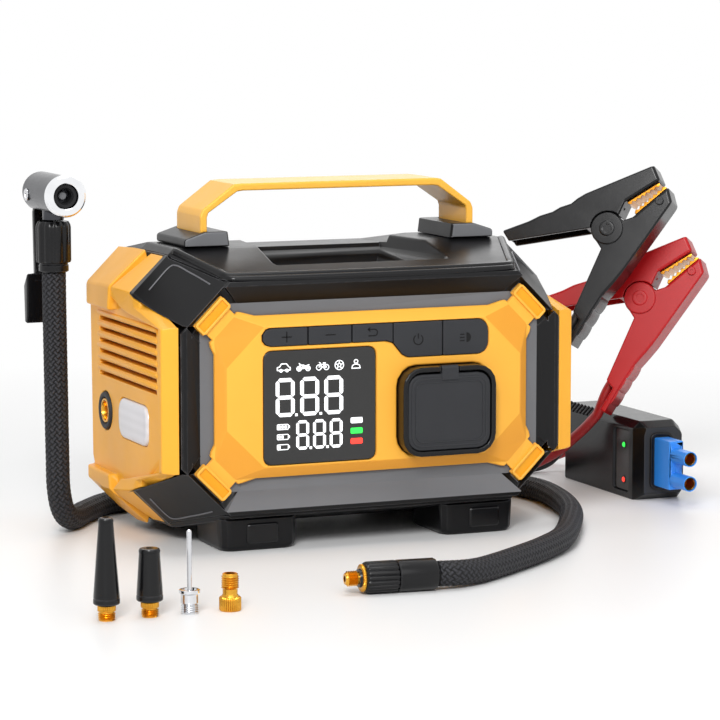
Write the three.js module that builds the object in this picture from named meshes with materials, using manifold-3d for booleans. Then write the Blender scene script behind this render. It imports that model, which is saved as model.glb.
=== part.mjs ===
import * as THREE from "three";
import { mergeVertices } from "three/addons/utils/BufferGeometryUtils.js";
import Module from "manifold-3d";

const wasm = await Module();
wasm.setup();

// ---------------------------------------------------------------- driving sizes
// Millimetres. x to the right, y to the back, z up; zero is the middle of the front.
const GAP = 0.3; // clearance between neighbouring pieces
const FLOOR = -77;
const CASE = [
  // y, side plane, height where it ends, top corner, bottom corner
  { y: 0, hw: 102.2, zs: 32.9, xt: 75.2, zt: 59.9, xb: 75.7, zb: 59.4, zl: 32.9 },
  { y: 44, hw: 111.3, zs: 49.3, xt: 89.9, zt: 70.7, xb: 91.4, zb: 69.9, zl: 50 },
  { y: 85, hw: 111.3, zs: 48.7, xt: 89.3, zt: 70.7, xb: 94.5, zb: 70.3, zl: 53.5 },
  { y: 113, hw: 111, zs: 47.4, xt: 92.6, zt: 65.8, xb: 94.6, zb: 67.9, zl: 51.5 },
  { y: 119, hw: 108.4, zs: 44, xt: 90.5, zt: 61.5, xb: 90.5, zb: 63, zl: 44.5 },
  { y: 124, hw: 98, zs: 46, xt: 86, zt: 58.5, xb: 86, zb: 60, zl: 46 },
];
const REAR = CASE[CASE.length - 1].y;
const CAP_OUT = 111.3; // outer side plane of the end caps
const CAP_REAR = 119;
const RELIEF = 2.3; // depth of the sunk side field of a cap
const CORE_SIDE = 103; // side of the housing under a cap
const CORE_DIAG = 5.8; // its depth under the caps on the slanted faces
const COVER_HALF = 92.7;
const CAP_IN = COVER_HALF + 3 * GAP; // the caps reach in to here on the slanted faces
const COVER = { front: 1.5, back: 117 };
const SPLIT = 48; // front frame ends, rear housing begins
const SEAT = { y: 3.4, hw: 91.3, zs: 40.6, xt: 85.3, zt: 46.6 }; // sunk front floor
const CAVITY = { side: 98, diag: 10, height: 47.5, front: 8, back: 119.5 };
const BAR = { footZ: 46.6, crestZ: 55.5, crestY: -3.5, lipZ: 57.7, footX: 91.3, crestX: 99.5 };

const PANEL = { front: -2, edge: 1.1, back: 3.1, hw: 84.5, hh: 40.3, flatX: 79.7, flatZ: 35 };
const EAR = { along: 93.1, root: 85.9, neck: 8.5, half: 10.1, t: 31.3 };
const DISPLAY = { x0: -59.9, x1: -0.1, z0: -33.9, z1: 22.7, r: 4, y: -1.5 };
const KEYS = { x0: -60.6, x1: 61.3, top: 33.9, leftZ: 25.2, rightZ: 16.5, y: -2.6, back: 6 };
const KEY_CUTS = [-36.5, -13.1, 9, 36.1];
const BEZEL = { x: 37.1, z: -10.8, w: 51, h: 45, r: 10, front: -10, wall: 2.6 };
const DOOR = { w: 45.2, z0: -30.4, z1: 8, r: 7, front: -9, thick: 2.4, tab: 4.5, pinY: -8.3, pinZ: 10.6 };
const LAMP = { y: 51.6, z: -16.3, w: 44.7, h: 20.2, r: 6 };
const PORT = { y: 95.7, z: -16.2, ring: 9.75, bore: 6.4, hole: 4 };
const VENT = { y0: 16, y1: 105, z: 32.1, pitch: 5.66, count: 6, h: 2.2 };
const HANDLE = { hw: 75, t: 3.7, y0: 45.8, y1: 81.3, foot: 72.2, bendX: 56.9, bendZ: 89.2, top: 102 };
const BRACKET = { x0: 60.5, x1: 84.7, y0: 42, y1: 85.2, z0: 71, z1: 78.5, slope: 11, edge: 3.9 };
const FOOT = { x0: 40, x1: 79, z: -61, rows: [[5, 45], [84, 116]] };
const BOARD = { y: 12, thick: 1.6, hw: 74, hh: 44 };
const BATTERY = { hw: 60, y0: 50, y1: 112, z0: -46.5, z1: 5 };
const MOTOR = { x0: -35, x1: 30, y: 84, z: 28, r: 17 };
const GEAR = { y: 60, z: 28, module: 1, big: 36, small: 12, x0: -50, x1: -44, throwR: 8 };
const PISTON = { x: -61.5, r: 8, bore: 8.6, out: 11, y0: 86, long: 10, cylY0: 84, cylY1: 114 };

const HOSE = { r: 5.95, rest: FLOOR + 6 };
const CHUCK = { x: -140.6, y: 79, z: 97, r: 10, front: -20, back: 24, mouth: 6.2, bore: 4.2, deep: 14,
  stem: 5.4 };
const COLLAR = { x: -141.2, z0: 58, z1: 83.6, r: 8.8, neckR: 7.5, neck: 5, sides: 10 };
const LEVER = { y: 14, z: -1, half: 5.2, pin: 1.5, boss: 3.2, low: -43, paddle: -65, paddleHalf: 9.6 };
const BOX = { x0: 179, x1: 207, y0: 57, y1: 150, z0: FLOOR, z1: -34, cut: 4, nose: 6, window: [68, 86],
  sunk: 2.4 };
const PLUG = { x0: 188.6, x1: 197.2, y0: 39.5, z0: -68.7, z1: -42.4, tubeZ: [-50, -63.3], tubeX: 192.9,
  tubeR: 4.1,
  tubeY: 24, bore: 3.3 };
const CLAMP = { yaw: 38, lean: 13, half: 11, pin: 3, cap: 8.6, hub: 9, lug: 3.9, lugR: 6.5, slot: 6,
  red: [196.4, 85.4, 28.7], black: [169.1, 72.4, 68.5] };
const NOZZLES = { long: [-182.5, -125.2], short: [-162.3, -125.1], needle: [-143.7, -125.5],
  adaptor: [-124.6, -126.2] };
const CONE = { r: 6, wall: 1.6, base: 7.1, longH: 46, longTip: 2.8, shortH: 31, shortTip: 4.2,
  threadR: 4, bore: 2 };
const NEEDLE = { r: 1.1, foot: 4, flange: 4.8, height: 38, footH: 9.5 };
const ADAPTOR = { r: 5, foot: 6.4, waist: 3.4, waistH: 10, head: 4, height: 17, bore: 2.4 };

// ---------------------------------------------------------------- finishes
const paint = (color, roughness, metalness = 0) =>
  new THREE.MeshStandardMaterial({ color, roughness, metalness });
const FINISH = {
  yellow: paint(0xf9b233, 0.45),
  black: paint(0x232323, 0.5),
  grey: paint(0x4a4a4a, 0.6),
  glass: paint(0x1a1a1a, 0.15),
  lens: paint(0xe8e8ea, 0.3),
  rubber: paint(0x1c1c1c, 0.85),
  braid: paint(0x26262a, 0.9),
  chrome: paint(0xd8d8dc, 0.12, 1),
  brass: paint(0xd9a441, 0.25, 1),
  steel: paint(0x9a9a9a, 0.35, 1),
  board: paint(0x1f5a35, 0.6),
  red: paint(0xbe2d2d, 0.4),
  blue: paint(0x2f86e0, 0.45),
};

// ---------------------------------------------------------------- solids
const PLACES = {
  x: (a, b, c) => [c, a, b],
  y: (a, b, c) => [a, c, b],
  z: (a, b, c) => [a, b, c],
};

// A closed surface as a solid; its faces are turned outwards if they point inwards.
function solid(positions, triangles) {
  const shape = new THREE.BufferGeometry();
  shape.setAttribute("position", new THREE.Float32BufferAttribute(positions, 3));
  if (triangles) shape.setIndex(triangles);
  const merged = mergeVertices(shape, 1e-4);
  const p = merged.attributes.position.array;
  const kept = [];
  let volume = 0;
  for (let i = 0; i < merged.index.count; i += 3) {
    const [a, b, c] = [0, 1, 2].map((k) => merged.index.getX(i + k));
    if (a === b || b === c || a === c) continue;
    kept.push(a, b, c);
    const at = (v) => new THREE.Vector3(p[3 * v], p[3 * v + 1], p[3 * v + 2]);
    volume += at(a).dot(at(b).cross(at(c)));
  }
  if (volume < 0) kept.reverse();
  return new wasm.Manifold(
    new wasm.Mesh({ numProp: 3, vertProperties: p, triVerts: new Uint32Array(kept) }),
  );
}

// An outline (with holes) pushed along an axis; the outline is (y,z), (x,z) or (x,y).
function prism(points, lo, hi, axis, holes = []) {
  const vectors = (list) => list.map(([a, b]) => new THREE.Vector2(a, b));
  const shape = new THREE.Shape(vectors(points));
  for (const hole of holes) shape.holes.push(new THREE.Path(vectors(hole)));
  const pushed = new THREE.ExtrudeGeometry(shape, { depth: hi - lo, bevelEnabled: false });
  const p = pushed.attributes.position;
  const out = [];
  for (let i = 0; i < p.count; i++) out.push(...PLACES[axis](p.getX(i), p.getY(i), p.getZ(i) + lo));
  return solid(out, pushed.index ? [...pushed.index.array] : [...Array(p.count).keys()]);
}

// Rings of equal point count joined in order, with fan ends.
function loft(rings) {
  const n = rings[0].length;
  const last = (rings.length - 1) * n;
  const faces = [];
  for (let r = 0; r + 1 < rings.length; r++)
    for (let i = 0; i < n; i++) {
      const a = r * n + i;
      const b = r * n + ((i + 1) % n);
      faces.push(a, b, b + n, a, b + n, a + n);
    }
  for (let i = 1; i + 1 < n; i++) faces.push(0, i + 1, i, last, last + i, last + i + 1);
  return solid(rings.flat(2), faces);
}

const box = (x0, x1, y0, y1, z0, z1) =>
  prism([[x0, y0], [x1, y0], [x1, y1], [x0, y1]], z0, z1, "z");

// A profile of [radius, height] turned round an axis through a centre.
function turned(profile, centre, axis = "z", segments = 32, closed = false) {
  const positions = [];
  for (const [r, h] of profile)
    for (let i = 0; i < segments; i++) {
      const angle = (2 * Math.PI * i) / segments;
      const [x, y, z] = PLACES[axis](r * Math.cos(angle), r * Math.sin(angle), h);
      positions.push(centre[0] + x, centre[1] + y, centre[2] + z);
    }
  const faces = [];
  const rows = closed ? profile.length : profile.length - 1;
  for (let r = 0; r < rows; r++)
    for (let i = 0; i < segments; i++) {
      const next = ((r + 1) % profile.length) * segments;
      const a = r * segments + i;
      const b = r * segments + ((i + 1) % segments);
      const c = next + ((i + 1) % segments);
      const d = next + i;
      faces.push(a, b, c, a, c, d);
    }
  return solid(positions, faces);
}

const rod = (r, lo, hi, centre, axis, segments = 24) =>
  turned([[0, lo], [r, lo], [r, hi], [0, hi]], centre, axis, segments);
const pipe = (outer, inner, lo, hi, centre, axis, segments = 24) =>
  turned([[inner, lo], [outer, lo], [outer, hi], [inner, hi]], centre, axis, segments, true);

const arcPoints = (r, from, to, steps = 6) =>
  Array.from({ length: steps + 1 }, (_, i) => {
    const a = ((from + ((to - from) * i) / steps) * Math.PI) / 180;
    return [r * Math.cos(a), r * Math.sin(a)];
  });

function roundRect(ca, cb, w, h, r, steps = 4) {
  const points = [];
  for (const [sa, sb, start] of [[1, 1, 0], [-1, 1, 90], [-1, -1, 180], [1, -1, 270]])
    for (let i = 0; i <= steps; i++) {
      const angle = ((start + (90 * i) / steps) * Math.PI) / 180;
      points.push([ca + sa * (w / 2 - r) + r * Math.cos(angle),
        cb + sb * (h / 2 - r) + r * Math.sin(angle)]);
    }
  return points;
}

// Moves each edge of a convex outline inwards by its own distance.
function inset(points, distances) {
  const n = points.length;
  const lines = points.map(([ax, ay], i) => {
    const [bx, by] = points[(i + 1) % n];
    const long = Math.hypot(bx - ax, by - ay);
    const [dx, dy] = [(bx - ax) / long, (by - ay) / long];
    return { x: ax - dy * distances[i], y: ay + dx * distances[i], dx, dy };
  });
  return lines.map((next, i) => {
    const prev = lines[(i + n - 1) % n];
    const cross = prev.dx * next.dy - prev.dy * next.dx;
    const t = ((next.x - prev.x) * next.dy - (next.y - prev.y) * next.dx) / cross;
    return [prev.x + prev.dx * t, prev.y + prev.dy * t];
  });
}

function sectionAt(y) {
  const k = Math.max(1, CASE.findIndex((s) => s.y >= y));
  const [a, b] = [CASE[k - 1], CASE[k]];
  const f = (y - a.y) / (b.y - a.y);
  return Object.fromEntries(Object.keys(a).map((key) => [key, a[key] + (b[key] - a[key]) * f]));
}

// Case outline at depth y: right side first, then round over the top.
const outline = (s) => [
  [s.hw, -s.zl], [s.hw, s.zs], [s.xt, s.zt], [-s.xt, s.zt],
  [-s.hw, s.zs], [-s.hw, -s.zl], [-s.xb, -s.zb], [s.xb, -s.zb],
];
const asRing = (points, y) => points.map(([x, z]) => [x, y, z]);

// The case between two depths, its side, slant, top and bottom faces moved inwards.
function caseBody(from, to, shrink = () => ({ side: 0, diag: 0, top: 0, bottom: 0 })) {
  const depths = [from, ...CASE.map((s) => s.y).filter((y) => y > from && y < to), to];
  return loft(
    depths.map((y) => {
      const s = sectionAt(y);
      const { side, diag, top, bottom } = shrink(s);
      return asRing(inset(outline(s), [side, diag, top, diag, side, diag, bottom, diag]), y);
    }),
  );
}

// A point given along the upper right diagonal and across it.
const slanted = (along, t) => [(along + t) / Math.SQRT2, (along - t) / Math.SQRT2];
const mirrorX = (points) => points.map(([x, ...rest]) => [-x, ...rest]);
const unite = (first, ...rest) => rest.reduce((sum, s) => sum.add(s), first);
const cutAway = (first, ...rest) => rest.reduce((sum, s) => sum.subtract(s), first);

const root = new THREE.Group();
root.name = "jump_starter_pack";
const kit = new THREE.Group();
root.add(kit);

function toGeometry(body) {
  const mesh = body.getMesh();
  const geometry = new THREE.BufferGeometry();
  geometry.setAttribute("position", new THREE.BufferAttribute(new Float32Array(mesh.vertProperties), 3));
  geometry.setIndex(new THREE.BufferAttribute(new Uint32Array(mesh.triVerts), 1));
  return geometry;
}

function piece(name, body, finish, group = kit) {
  const mesh = new THREE.Mesh(toGeometry(body), finish);
  mesh.name = name;
  group.add(mesh);
}

// ---------------------------------------------------------------- regions shared by the shells
const capOutline = (grow) => [
  [1 - grow, -36 - grow], [1 - grow, 36.1 + grow], [3, 36.1 + grow], [50 - grow, 48 + grow],
  [48.6 - grow, 68.2], [48.3 - grow, 73], [CAP_REAR + grow, 73], [CAP_REAR + grow, -73],
  [48.3 - grow, -73], [48.6 - grow, -68.2], [50 - grow, -51 - grow], [4, -36 - grow],
];
const coverPlan = (grow) => {
  const half = COVER_HALF + grow;
  const side = [[78 - 7.5 * 0.363 + grow, -6], [half, 42], [half, 130]];
  return [...side, ...mirrorX(side).reverse()];
};
const coverSide = (sign, grow, deep, rear) => [
  [-6, sign * (58.1 - grow)], [12 - grow, sign * (58.1 - grow)], [12 - grow, sign * (deep - grow)],
  [104 + grow, sign * (deep - grow)], [104 + grow, sign * (rear - grow)],
  [COVER.back + grow, sign * (rear - grow)], [COVER.back + grow, sign * 80], [-6, sign * 80],
];
const span = (sign, near, far) => [Math.min(sign * near, sign * far), Math.max(sign * near, sign * far)];
const coverSpace = (sign, grow, deep, rear) =>
  prism(coverSide(sign, grow, deep, rear), -130, 130, "x").intersect(
    prism(coverPlan(grow), ...span(sign, 50, 82), "z"),
  );
const DEEP = { top: 52, topRear: 56, bottom: 52, bottomRear: 56 };

const core = (grow) =>
  caseBody(0, CAP_REAR + grow, () => ({ side: 0, diag: CORE_DIAG - grow, top: 0, bottom: 0 })).intersect(
    box(-CORE_SIDE - grow, CORE_SIDE + grow, -10, 130, -90, 90),
  );
const capCore = core(GAP);
const shellCore = core(0);
const capSpace = (side) =>
  prism(capOutline(GAP), ...span(side, CAP_IN - GAP, CAP_OUT + 3), "x").subtract(shellCore);
const cavity = (from, to) =>
  caseBody(from, to, (s) => ({
    side: s.hw - CAVITY.side, diag: CAVITY.diag, top: s.zt - CAVITY.height, bottom: s.zb - CAVITY.height,
  }));

// ---------------------------------------------------------------- front frame
function frontFrame() {
  const seat = outline({ ...SEAT, zl: SEAT.zs, xb: SEAT.xt, zb: SEAT.zt });
  const body = loft([
    asRing(seat, SEAT.y),
    ...[0, 44, SPLIT].map((y) => asRing(outline(sectionAt(y)), y)),
  ]);
  const bars = [];
  for (const s of [1, -1]) {
    const along = prism(
      [[5, s * (BAR.footZ - 0.2)], [SEAT.y, s * BAR.footZ], [BAR.crestY, s * BAR.crestZ],
        [BAR.crestY + 0.5, s * BAR.lipZ], [5, s * BAR.lipZ]], -95, 95, "x");
    bars.push(along.intersect(prism(
      [[-71, s * 45.8], [71, s * 45.8], [80, s * 55.2], [77.4, s * 57.8], [-77.4, s * 57.8], [-80,
      s * 55.2]],
      -8, 8, "y")));
    const up = prism(
      [[s * (BAR.footX - 0.2), 5], [s * BAR.footX, SEAT.y], [s * BAR.crestX, -1.2], [s * 101.5, -0.7],
        [s * 102.2, 0.4], [s * 102.2, 5]], -60, 60, "z");
    bars.push(up.intersect(prism(
      [[s * 91, -27.7], [s * 99.2, -35.9], [s * 102.3, -32.8], [s * 102.3, 32.8], [s * 99.2, 35.9],
      [s * 91, 27.7]],
      -8, 8, "y")));
  }
  return cutAway(
    unite(body, ...bars),
    capSpace(1), capSpace(-1),
    coverSpace(1, GAP, DEEP.top, DEEP.topRear), coverSpace(-1, GAP, DEEP.bottom, DEEP.bottomRear),
    cavity(CAVITY.front, SPLIT + 1),
    box(-66, 68, 2, 10, -38, 37),
    ...[[1, 1], [1, -1], [-1, 1], [-1, -1]].map(([sx, sz]) => {
      const [near, far, side] = [EAR.root - GAP, EAR.along + GAP, EAR.half + GAP];
      const corners = [[near, side], [far, side], [far, -side], [near, -side]];
      return prism(corners.map(([d, t]) => {
        const [x, z] = slanted(d, EAR.t + t);
        return [sx * x, sz * z];
      }), -8, SEAT.y, "y");
    }),
  );
}

// ---------------------------------------------------------------- rear housing
function rearHousing() {
  return cutAway(
    caseBody(SPLIT + GAP, REAR),
    capSpace(1), capSpace(-1),
    coverSpace(1, GAP, DEEP.top, DEEP.topRear), coverSpace(-1, GAP, DEEP.bottom, DEEP.bottomRear),
    cavity(SPLIT - 1, CAVITY.back),
    rod(PORT.bore + GAP, -115, -80, [0, PORT.y, PORT.z], "x"),
    box(80, 112, 52 - GAP, 80 + GAP, -24 - GAP, -8 + GAP),
  );
}

// ---------------------------------------------------------------- end caps
function endCap(side) {
  const at = (points) => (side > 0 ? points : mirrorX(points));
  const ring = (x, front, low, high, drop) =>
    at([[x, front, -low], [x, 52, -52 + drop], [x, 52, 49 - drop], [x, front, high]]);
  const plate = loft([
    ring(CORE_SIDE, 1.1, 36.5, 36.5, 0), ring(103.9, 1.1, 36.5, 36.5, 0), ring(CAP_OUT, 3.2, 35.2, 35.3,
      5.5),
  ]);
  const [low, high] = span(side, CAP_IN, CAP_OUT + 3);
  const body = unite(plate, caseBody(38, CAP_REAR))
    .intersect(prism(capOutline(0), low, high, "x"))
    .subtract(capCore);
  const sunk = caseBody(0, 125, (s) => ({ side: s.hw - CAP_OUT + RELIEF, diag: RELIEF, top: -2,
    bottom: -2 }));
  // the sunk field: behind the front band, below the upper hood and above the lower hood, with a groove
  // over each slant between the band and the hood
  const field = prism(
    [[8, -35.5], [8, 35], [56, 38.5], [66, 40.5], [72.5, 46], [66, 75], [69, 75], [75.5, 46], [77, 37.4],
      [125, 37.4], [125, -46.6], [78, -46.6], [76, -54], [69, -75], [66, -75], [73, -54], [66, -47],
      [61, -46.5]],
    low, high, "x").subtract(sunk);
  const slots = Array.from({ length: VENT.count }, (_, i) => {
    const z = VENT.z - i * VENT.pitch;
    return prism(roundRect((VENT.y0 + VENT.y1) / 2, z - VENT.h / 2, VENT.y1 - VENT.y0, VENT.h, 1, 2),
      low, high, "x");
  });
  let cap = cutAway(body, field, ...slots);
  if (side < 0)
    cap = cutAway(
      cap,
      prism(roundRect(LAMP.y, LAMP.z, LAMP.w + 2 * GAP, LAMP.h + 2 * GAP, LAMP.r), low, high, "x"),
      rod(PORT.ring + GAP, low, high, [0, PORT.y, PORT.z], "x"),
    );
  else cap = cap.subtract(box(90, 112, 52 - GAP, 80 + GAP, -24 - GAP, -8 + GAP));
  return cap;
}

// ---------------------------------------------------------------- covers
function topCover() {
  const slab = caseBody(COVER.front, COVER.back).intersect(coverSpace(1, 0, DEEP.top, DEEP.topRear));
  const ring = (z, x0, y0, x1, y1) => [[-x0, y0, z], [x0, y0, z], [x1, y1, z], [-x1, y1, z]];
  const pocket = loft([
    ring(57, 37, 20, 33, 74), ring(62, 44.5, 15.5, 35.4, 77),
    ring(64.2, 48, 13.7, 38, 82), ring(74, 52, 9, 41, 91),
  ]);
  const saddle = prism([[-38, 66.2], [38, 66.2], [52, 70.8], [52, 76], [-52, 76], [-52, 70.8]], 78, 120,
    "y");
  const hollows = [1, -1].map((s) => box(...span(s, 55, 88), 24, 100, 50, 61));
  return cutAway(slab, pocket, saddle, ...hollows);
}

function bottomCover() {
  const slab = caseBody(COVER.front, COVER.back).intersect(coverSpace(-1, 0, DEEP.bottom, DEEP.bottomRear));
  const feet = [];
  for (const s of [1, -1])
    for (const [y0, y1] of FOOT.rows) {
      const plan = (grow, z) =>
        roundRect(s * (FOOT.x0 + FOOT.x1) / 2, (y0 + y1) / 2, FOOT.x1 - FOOT.x0 + 2 * grow,
          y1 - y0 + 2 * grow, 6, 3)
          .map(([x, y]) => [x, y, z]);
      feet.push(loft([plan(1, FOOT.z), plan(0.6, FLOOR + 2), plan(-0.6, FLOOR)]));
    }
  const hollow = box(-84, 84, 24, 100, -60, -50);
  return unite(slab.subtract(hollow), ...feet);
}

// ---------------------------------------------------------------- front panel and what sits in it
const keyOutline = (grow) => {
  const { x0, x1, top, leftZ, rightZ } = KEYS;
  const r = (top - leftZ) / 2;
  const points = [];
  const arc = (cx, cz, radius, from, to, steps = 5) => {
    for (let i = 0; i <= steps; i++) {
      const a = ((from + ((to - from) * i) / steps) * Math.PI) / 180;
      points.push([cx + radius * Math.cos(a), cz + radius * Math.sin(a)]);
    }
  };
  arc(x0 + r, top - r, r + grow, 90, 270);
  points.push([5.5, leftZ - grow], [9.2 - grow / 2, 24.1 - grow], [14.3 - grow / 2, 17.9 - grow / 2]);
  points.push([17.2, rightZ - grow]);
  arc(x1 - 6, rightZ + 6, 6 + grow, 270, 360);
  arc(x1 - 6, top - 6, 6 + grow, 0, 90);
  return points;
};

function panelOutline() {
  const half = [];
  const d = slanted;
  // upper right quarter, from the side to the top: edge, ear bulge, neck and tab
  half.push([PANEL.hw, 22], [86.3, 25.5], [86.9, 28]);
  half.push(d(81.4, EAR.t + EAR.neck), d(EAR.root, EAR.t + EAR.neck), d(EAR.root, EAR.t + EAR.half));
  half.push(d(EAR.along, EAR.t + EAR.half), d(EAR.along, EAR.t - EAR.half));
  half.push(d(EAR.root, EAR.t - EAR.half), d(EAR.root, EAR.t - EAR.neck), d(81.4, EAR.t - EAR.neck));
  half.push([72.4, 42.6], [70, 42.2], [63, PANEL.hh]);
  const left = mirrorX(half).reverse();
  const up = [...half, ...left];
  return [...up, ...up.map(([x, z]) => [x, -z]).reverse()];
}

const bezelHole = (grow) =>
  roundRect(BEZEL.x, BEZEL.z, BEZEL.w + 2 * grow, BEZEL.h + 2 * grow, BEZEL.r + grow);
const displayOutline = (grow) =>
  roundRect((DISPLAY.x0 + DISPLAY.x1) / 2, (DISPLAY.z0 + DISPLAY.z1) / 2,
    DISPLAY.x1 - DISPLAY.x0 + 2 * grow, DISPLAY.z1 - DISPLAY.z0 + 2 * grow, DISPLAY.r + grow);

function frontPanel() {
  const eight = (hw, zs, xt, zt) => [
    [hw, -zs], [hw, zs], [xt, zt], [-xt, zt], [-hw, zs], [-hw, -zs], [-xt, -zt], [xt, -zt],
  ];
  const { front, edge, back, hw, hh, flatX, flatZ } = PANEL;
  const raised = loft([
    asRing(eight(flatX, 15, 59.5, flatZ), front), asRing(eight(hw, 29.8, 74, hh), edge),
    asRing(eight(hw, 29.8, 74, hh), back),
  ]);
  return cutAway(
    prism(panelOutline(), edge, back, "y").add(raised),
    prism(displayOutline(GAP), -5, 5, "y"),
    prism(keyOutline(GAP), -5, 5, "y"),
    prism(bezelHole(GAP), -5, 5, "y"),
  );
}

function keyParts() {
  const all = prism(keyOutline(0), KEYS.y, KEYS.back, "y");
  const names = ["plus_button", "minus_button", "mode_button", "power_button", "lamp_button"];
  const stops = [KEYS.x0 - 5, ...KEY_CUTS, KEYS.x1 + 5];
  names.forEach((name, i) => {
    const strip = box(stops[i] + GAP, stops[i + 1] - GAP, -6, 9, 5, 45);
    piece(name, all.intersect(strip), FINISH.grey);
  });
}

function socketParts() {
  const { x, z, w, h, r, front, wall } = BEZEL;
  const inner = roundRect(x, z, w - 2 * wall, h - 2 * wall, r - wall);
  const tab = (grow, lo, hi, z0, z1) => box(x - DOOR.tab - grow, x + DOOR.tab + grow, lo, hi, z0, z1);
  const bezel = cutAway(
    prism(roundRect(x, z, w, h, r), front, 10.6, "y"),
    prism(inner, front - 1, 3.4, "y"),
    prism(roundRect(x, z, 36.6, 34.6, 5.3), 3, 11, "y"),
    tab(GAP, front - 2, DOOR.front + DOOR.thick + GAP, 6, 14),
  );
  piece("socket_bezel", bezel, FINISH.black);
  const leaf = roundRect(x, (DOOR.z0 + DOOR.z1) / 2, DOOR.w, DOOR.z1 - DOOR.z0, DOOR.r);
  piece("socket_door",
    unite(
      prism(leaf, DOOR.front, DOOR.front + DOOR.thick, "y"),
      tab(0, -9.8, DOOR.front + DOOR.thick, 5, DOOR.pinZ),
      rod(1.6, x - DOOR.tab, x + DOOR.tab, [0, DOOR.pinY, DOOR.pinZ], "x", 16)),
    FINISH.grey);
  // two wide outlets side by side over a small one
  const outlet = (cx, cz, wide, high) => prism(roundRect(cx, cz, wide, high, high / 3, 2), -1, 9.4, "y");
  piece("socket_block",
    cutAway(
      prism(roundRect(x, z, 36, 34, 5), 1, 11, "y"),
      outlet(x - 8.6, z + 5, 13.4, 5.8), outlet(x + 8.6, z + 5, 13.4, 5.8), outlet(x, z - 7, 9.2, 3.6)),
    FINISH.black);
}

// ---------------------------------------------------------------- handle
function handleParts() {
  const { hw, t, y0, y1, foot, bendX, bendZ, top } = HANDLE;
  const outerRight = [[bendX - 4, top], [bendX, top - 0.4], [hw - 1.2, bendZ], [hw, bendZ - 3], [hw, foot]];
  const outerLeft = mirrorX(outerRight).reverse();
  const innerRight = [[hw - t, foot], [hw - t, bendZ - 4], [hw - t - 0.8, bendZ - 1.6], [bendX - 1.7,
    top - t - 0.4],
    [bendX - 5, top - t]];
  const innerLeft = mirrorX(innerRight).reverse();
  piece("carry_handle", prism([...outerLeft, ...outerRight, ...innerRight, ...innerLeft], y0, y1, "y"),
    FINISH.yellow);
  for (const [name, s] of [["left_bracket", -1], ["right_bracket", 1]]) {
    const b = BRACKET;
    const shape = [[s * b.x0, b.z0], [s * b.x1, b.z0], [s * b.x1, b.z0 + b.edge], [s * (b.x1 - b.slope),
      b.z1],
      [s * (b.x0 + 1), b.z1]];
    const slot = box(...span(s, hw - t - GAP, hw + GAP), y0 - GAP, y1 + GAP, foot - GAP, 90);
    piece(name, prism(shape, b.y0, b.y1, "y").subtract(slot), FINISH.black);
  }
}

// ---------------------------------------------------------------- pump, battery and board
function gearOutline(teeth, m, cy, cz, phase) {
  const points = [];
  const pitchR = (teeth * m) / 2;
  for (let i = 0; i < teeth; i++)
    for (const [f, r] of [[-0.31, pitchR - 1.25 * m], [-0.14, pitchR + 0.95 * m], [0.14, pitchR + 0.95 * m],
      [0.31, pitchR - 1.25 * m]]) {
      const a = (2 * Math.PI * (i + f)) / teeth + phase;
      points.push([cy + r * Math.cos(a), cz + r * Math.sin(a)]);
    }
  return points;
}

function insideParts() {
  piece("main_board", box(-BOARD.hw, BOARD.hw, BOARD.y, BOARD.y + BOARD.thick, -BOARD.hh, BOARD.hh),
    FINISH.board);
  const b = BATTERY;
  piece("battery_pack", box(-b.hw, b.hw, b.y0, b.y1, b.z0, b.z1), FINISH.blue);
  piece("pump_motor",
    turned([[0, MOTOR.x0], [6, MOTOR.x0], [6, MOTOR.x0 + 3], [MOTOR.r, MOTOR.x0 + 3], [MOTOR.r,
      MOTOR.x1], [0, MOTOR.x1]],
      [0, MOTOR.y, MOTOR.z], "x", 28), FINISH.steel);
  const g = GEAR;
  piece("motor_pinion",
    prism(gearOutline(g.small, g.module, MOTOR.y, MOTOR.z, Math.PI / g.small), g.x0, g.x1, "x")
      .add(rod(2, g.x0, MOTOR.x0 - GAP, [0, MOTOR.y, MOTOR.z], "x", 16)),
    FINISH.steel);
  piece("crank_gear",
    unite(
      prism(gearOutline(g.big, g.module, g.y, g.z, 0), g.x0, g.x1, "x"),
      rod(3, PISTON.x + 2.5 + GAP, g.x0 + 1, [0, g.y - g.throwR, g.z], "x", 16)),
    FINISH.steel);
  const p = PISTON;
  piece("pump_piston",
    unite(
      rod(p.r, p.y0, p.y0 + p.long, [p.x, 0, g.z], "y", 24),
      rod(2.5, g.y - g.throwR, p.y0 + 1, [p.x, 0, g.z], "y", 16)),
    FINISH.steel);
  piece("pump_cylinder",
    turned([[p.bore, p.cylY0], [p.out, p.cylY0], [p.out, p.cylY1], [0, p.cylY1], [0, p.cylY1 - 2],
      [p.bore, p.cylY1 - 2]],
      [p.x, 0, g.z], "y", 28, true).add(rod(1, p.cylY1 - 2.5, p.cylY1 - 0.5, [p.x, 0, g.z], "y", 8)),
      FINISH.steel);
  piece("starter_socket",
    cutAway(
      box(84, 108.6, 52, 80, -24, -8),
      rod(3.6, 92, 110, [0, 59.5, -16], "x", 20), rod(3.6, 92, 110, [0, 72.5, -16], "x", 20)),
    FINISH.blue);
}

// ---------------------------------------------------------------- lamp and air outlet
function sideParts() {
  piece("lamp_lens",
    prism(roundRect(LAMP.y, LAMP.z, LAMP.w, LAMP.h, LAMP.r), -(CAP_OUT - RELIEF), -(CORE_SIDE + GAP),
      "x"), FINISH.lens);
  const centre = [0, PORT.y, PORT.z];
  piece("air_port_ring",
    pipe(PORT.ring, PORT.bore + GAP, -(CAP_OUT - RELIEF + 0.8), -(CORE_SIDE + GAP), centre, "x", 32),
      FINISH.black);
  piece("air_outlet", pipe(PORT.bore, PORT.hole, -(CAP_OUT - RELIEF), -84, centre, "x", 28), FINISH.brass);
}

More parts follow.
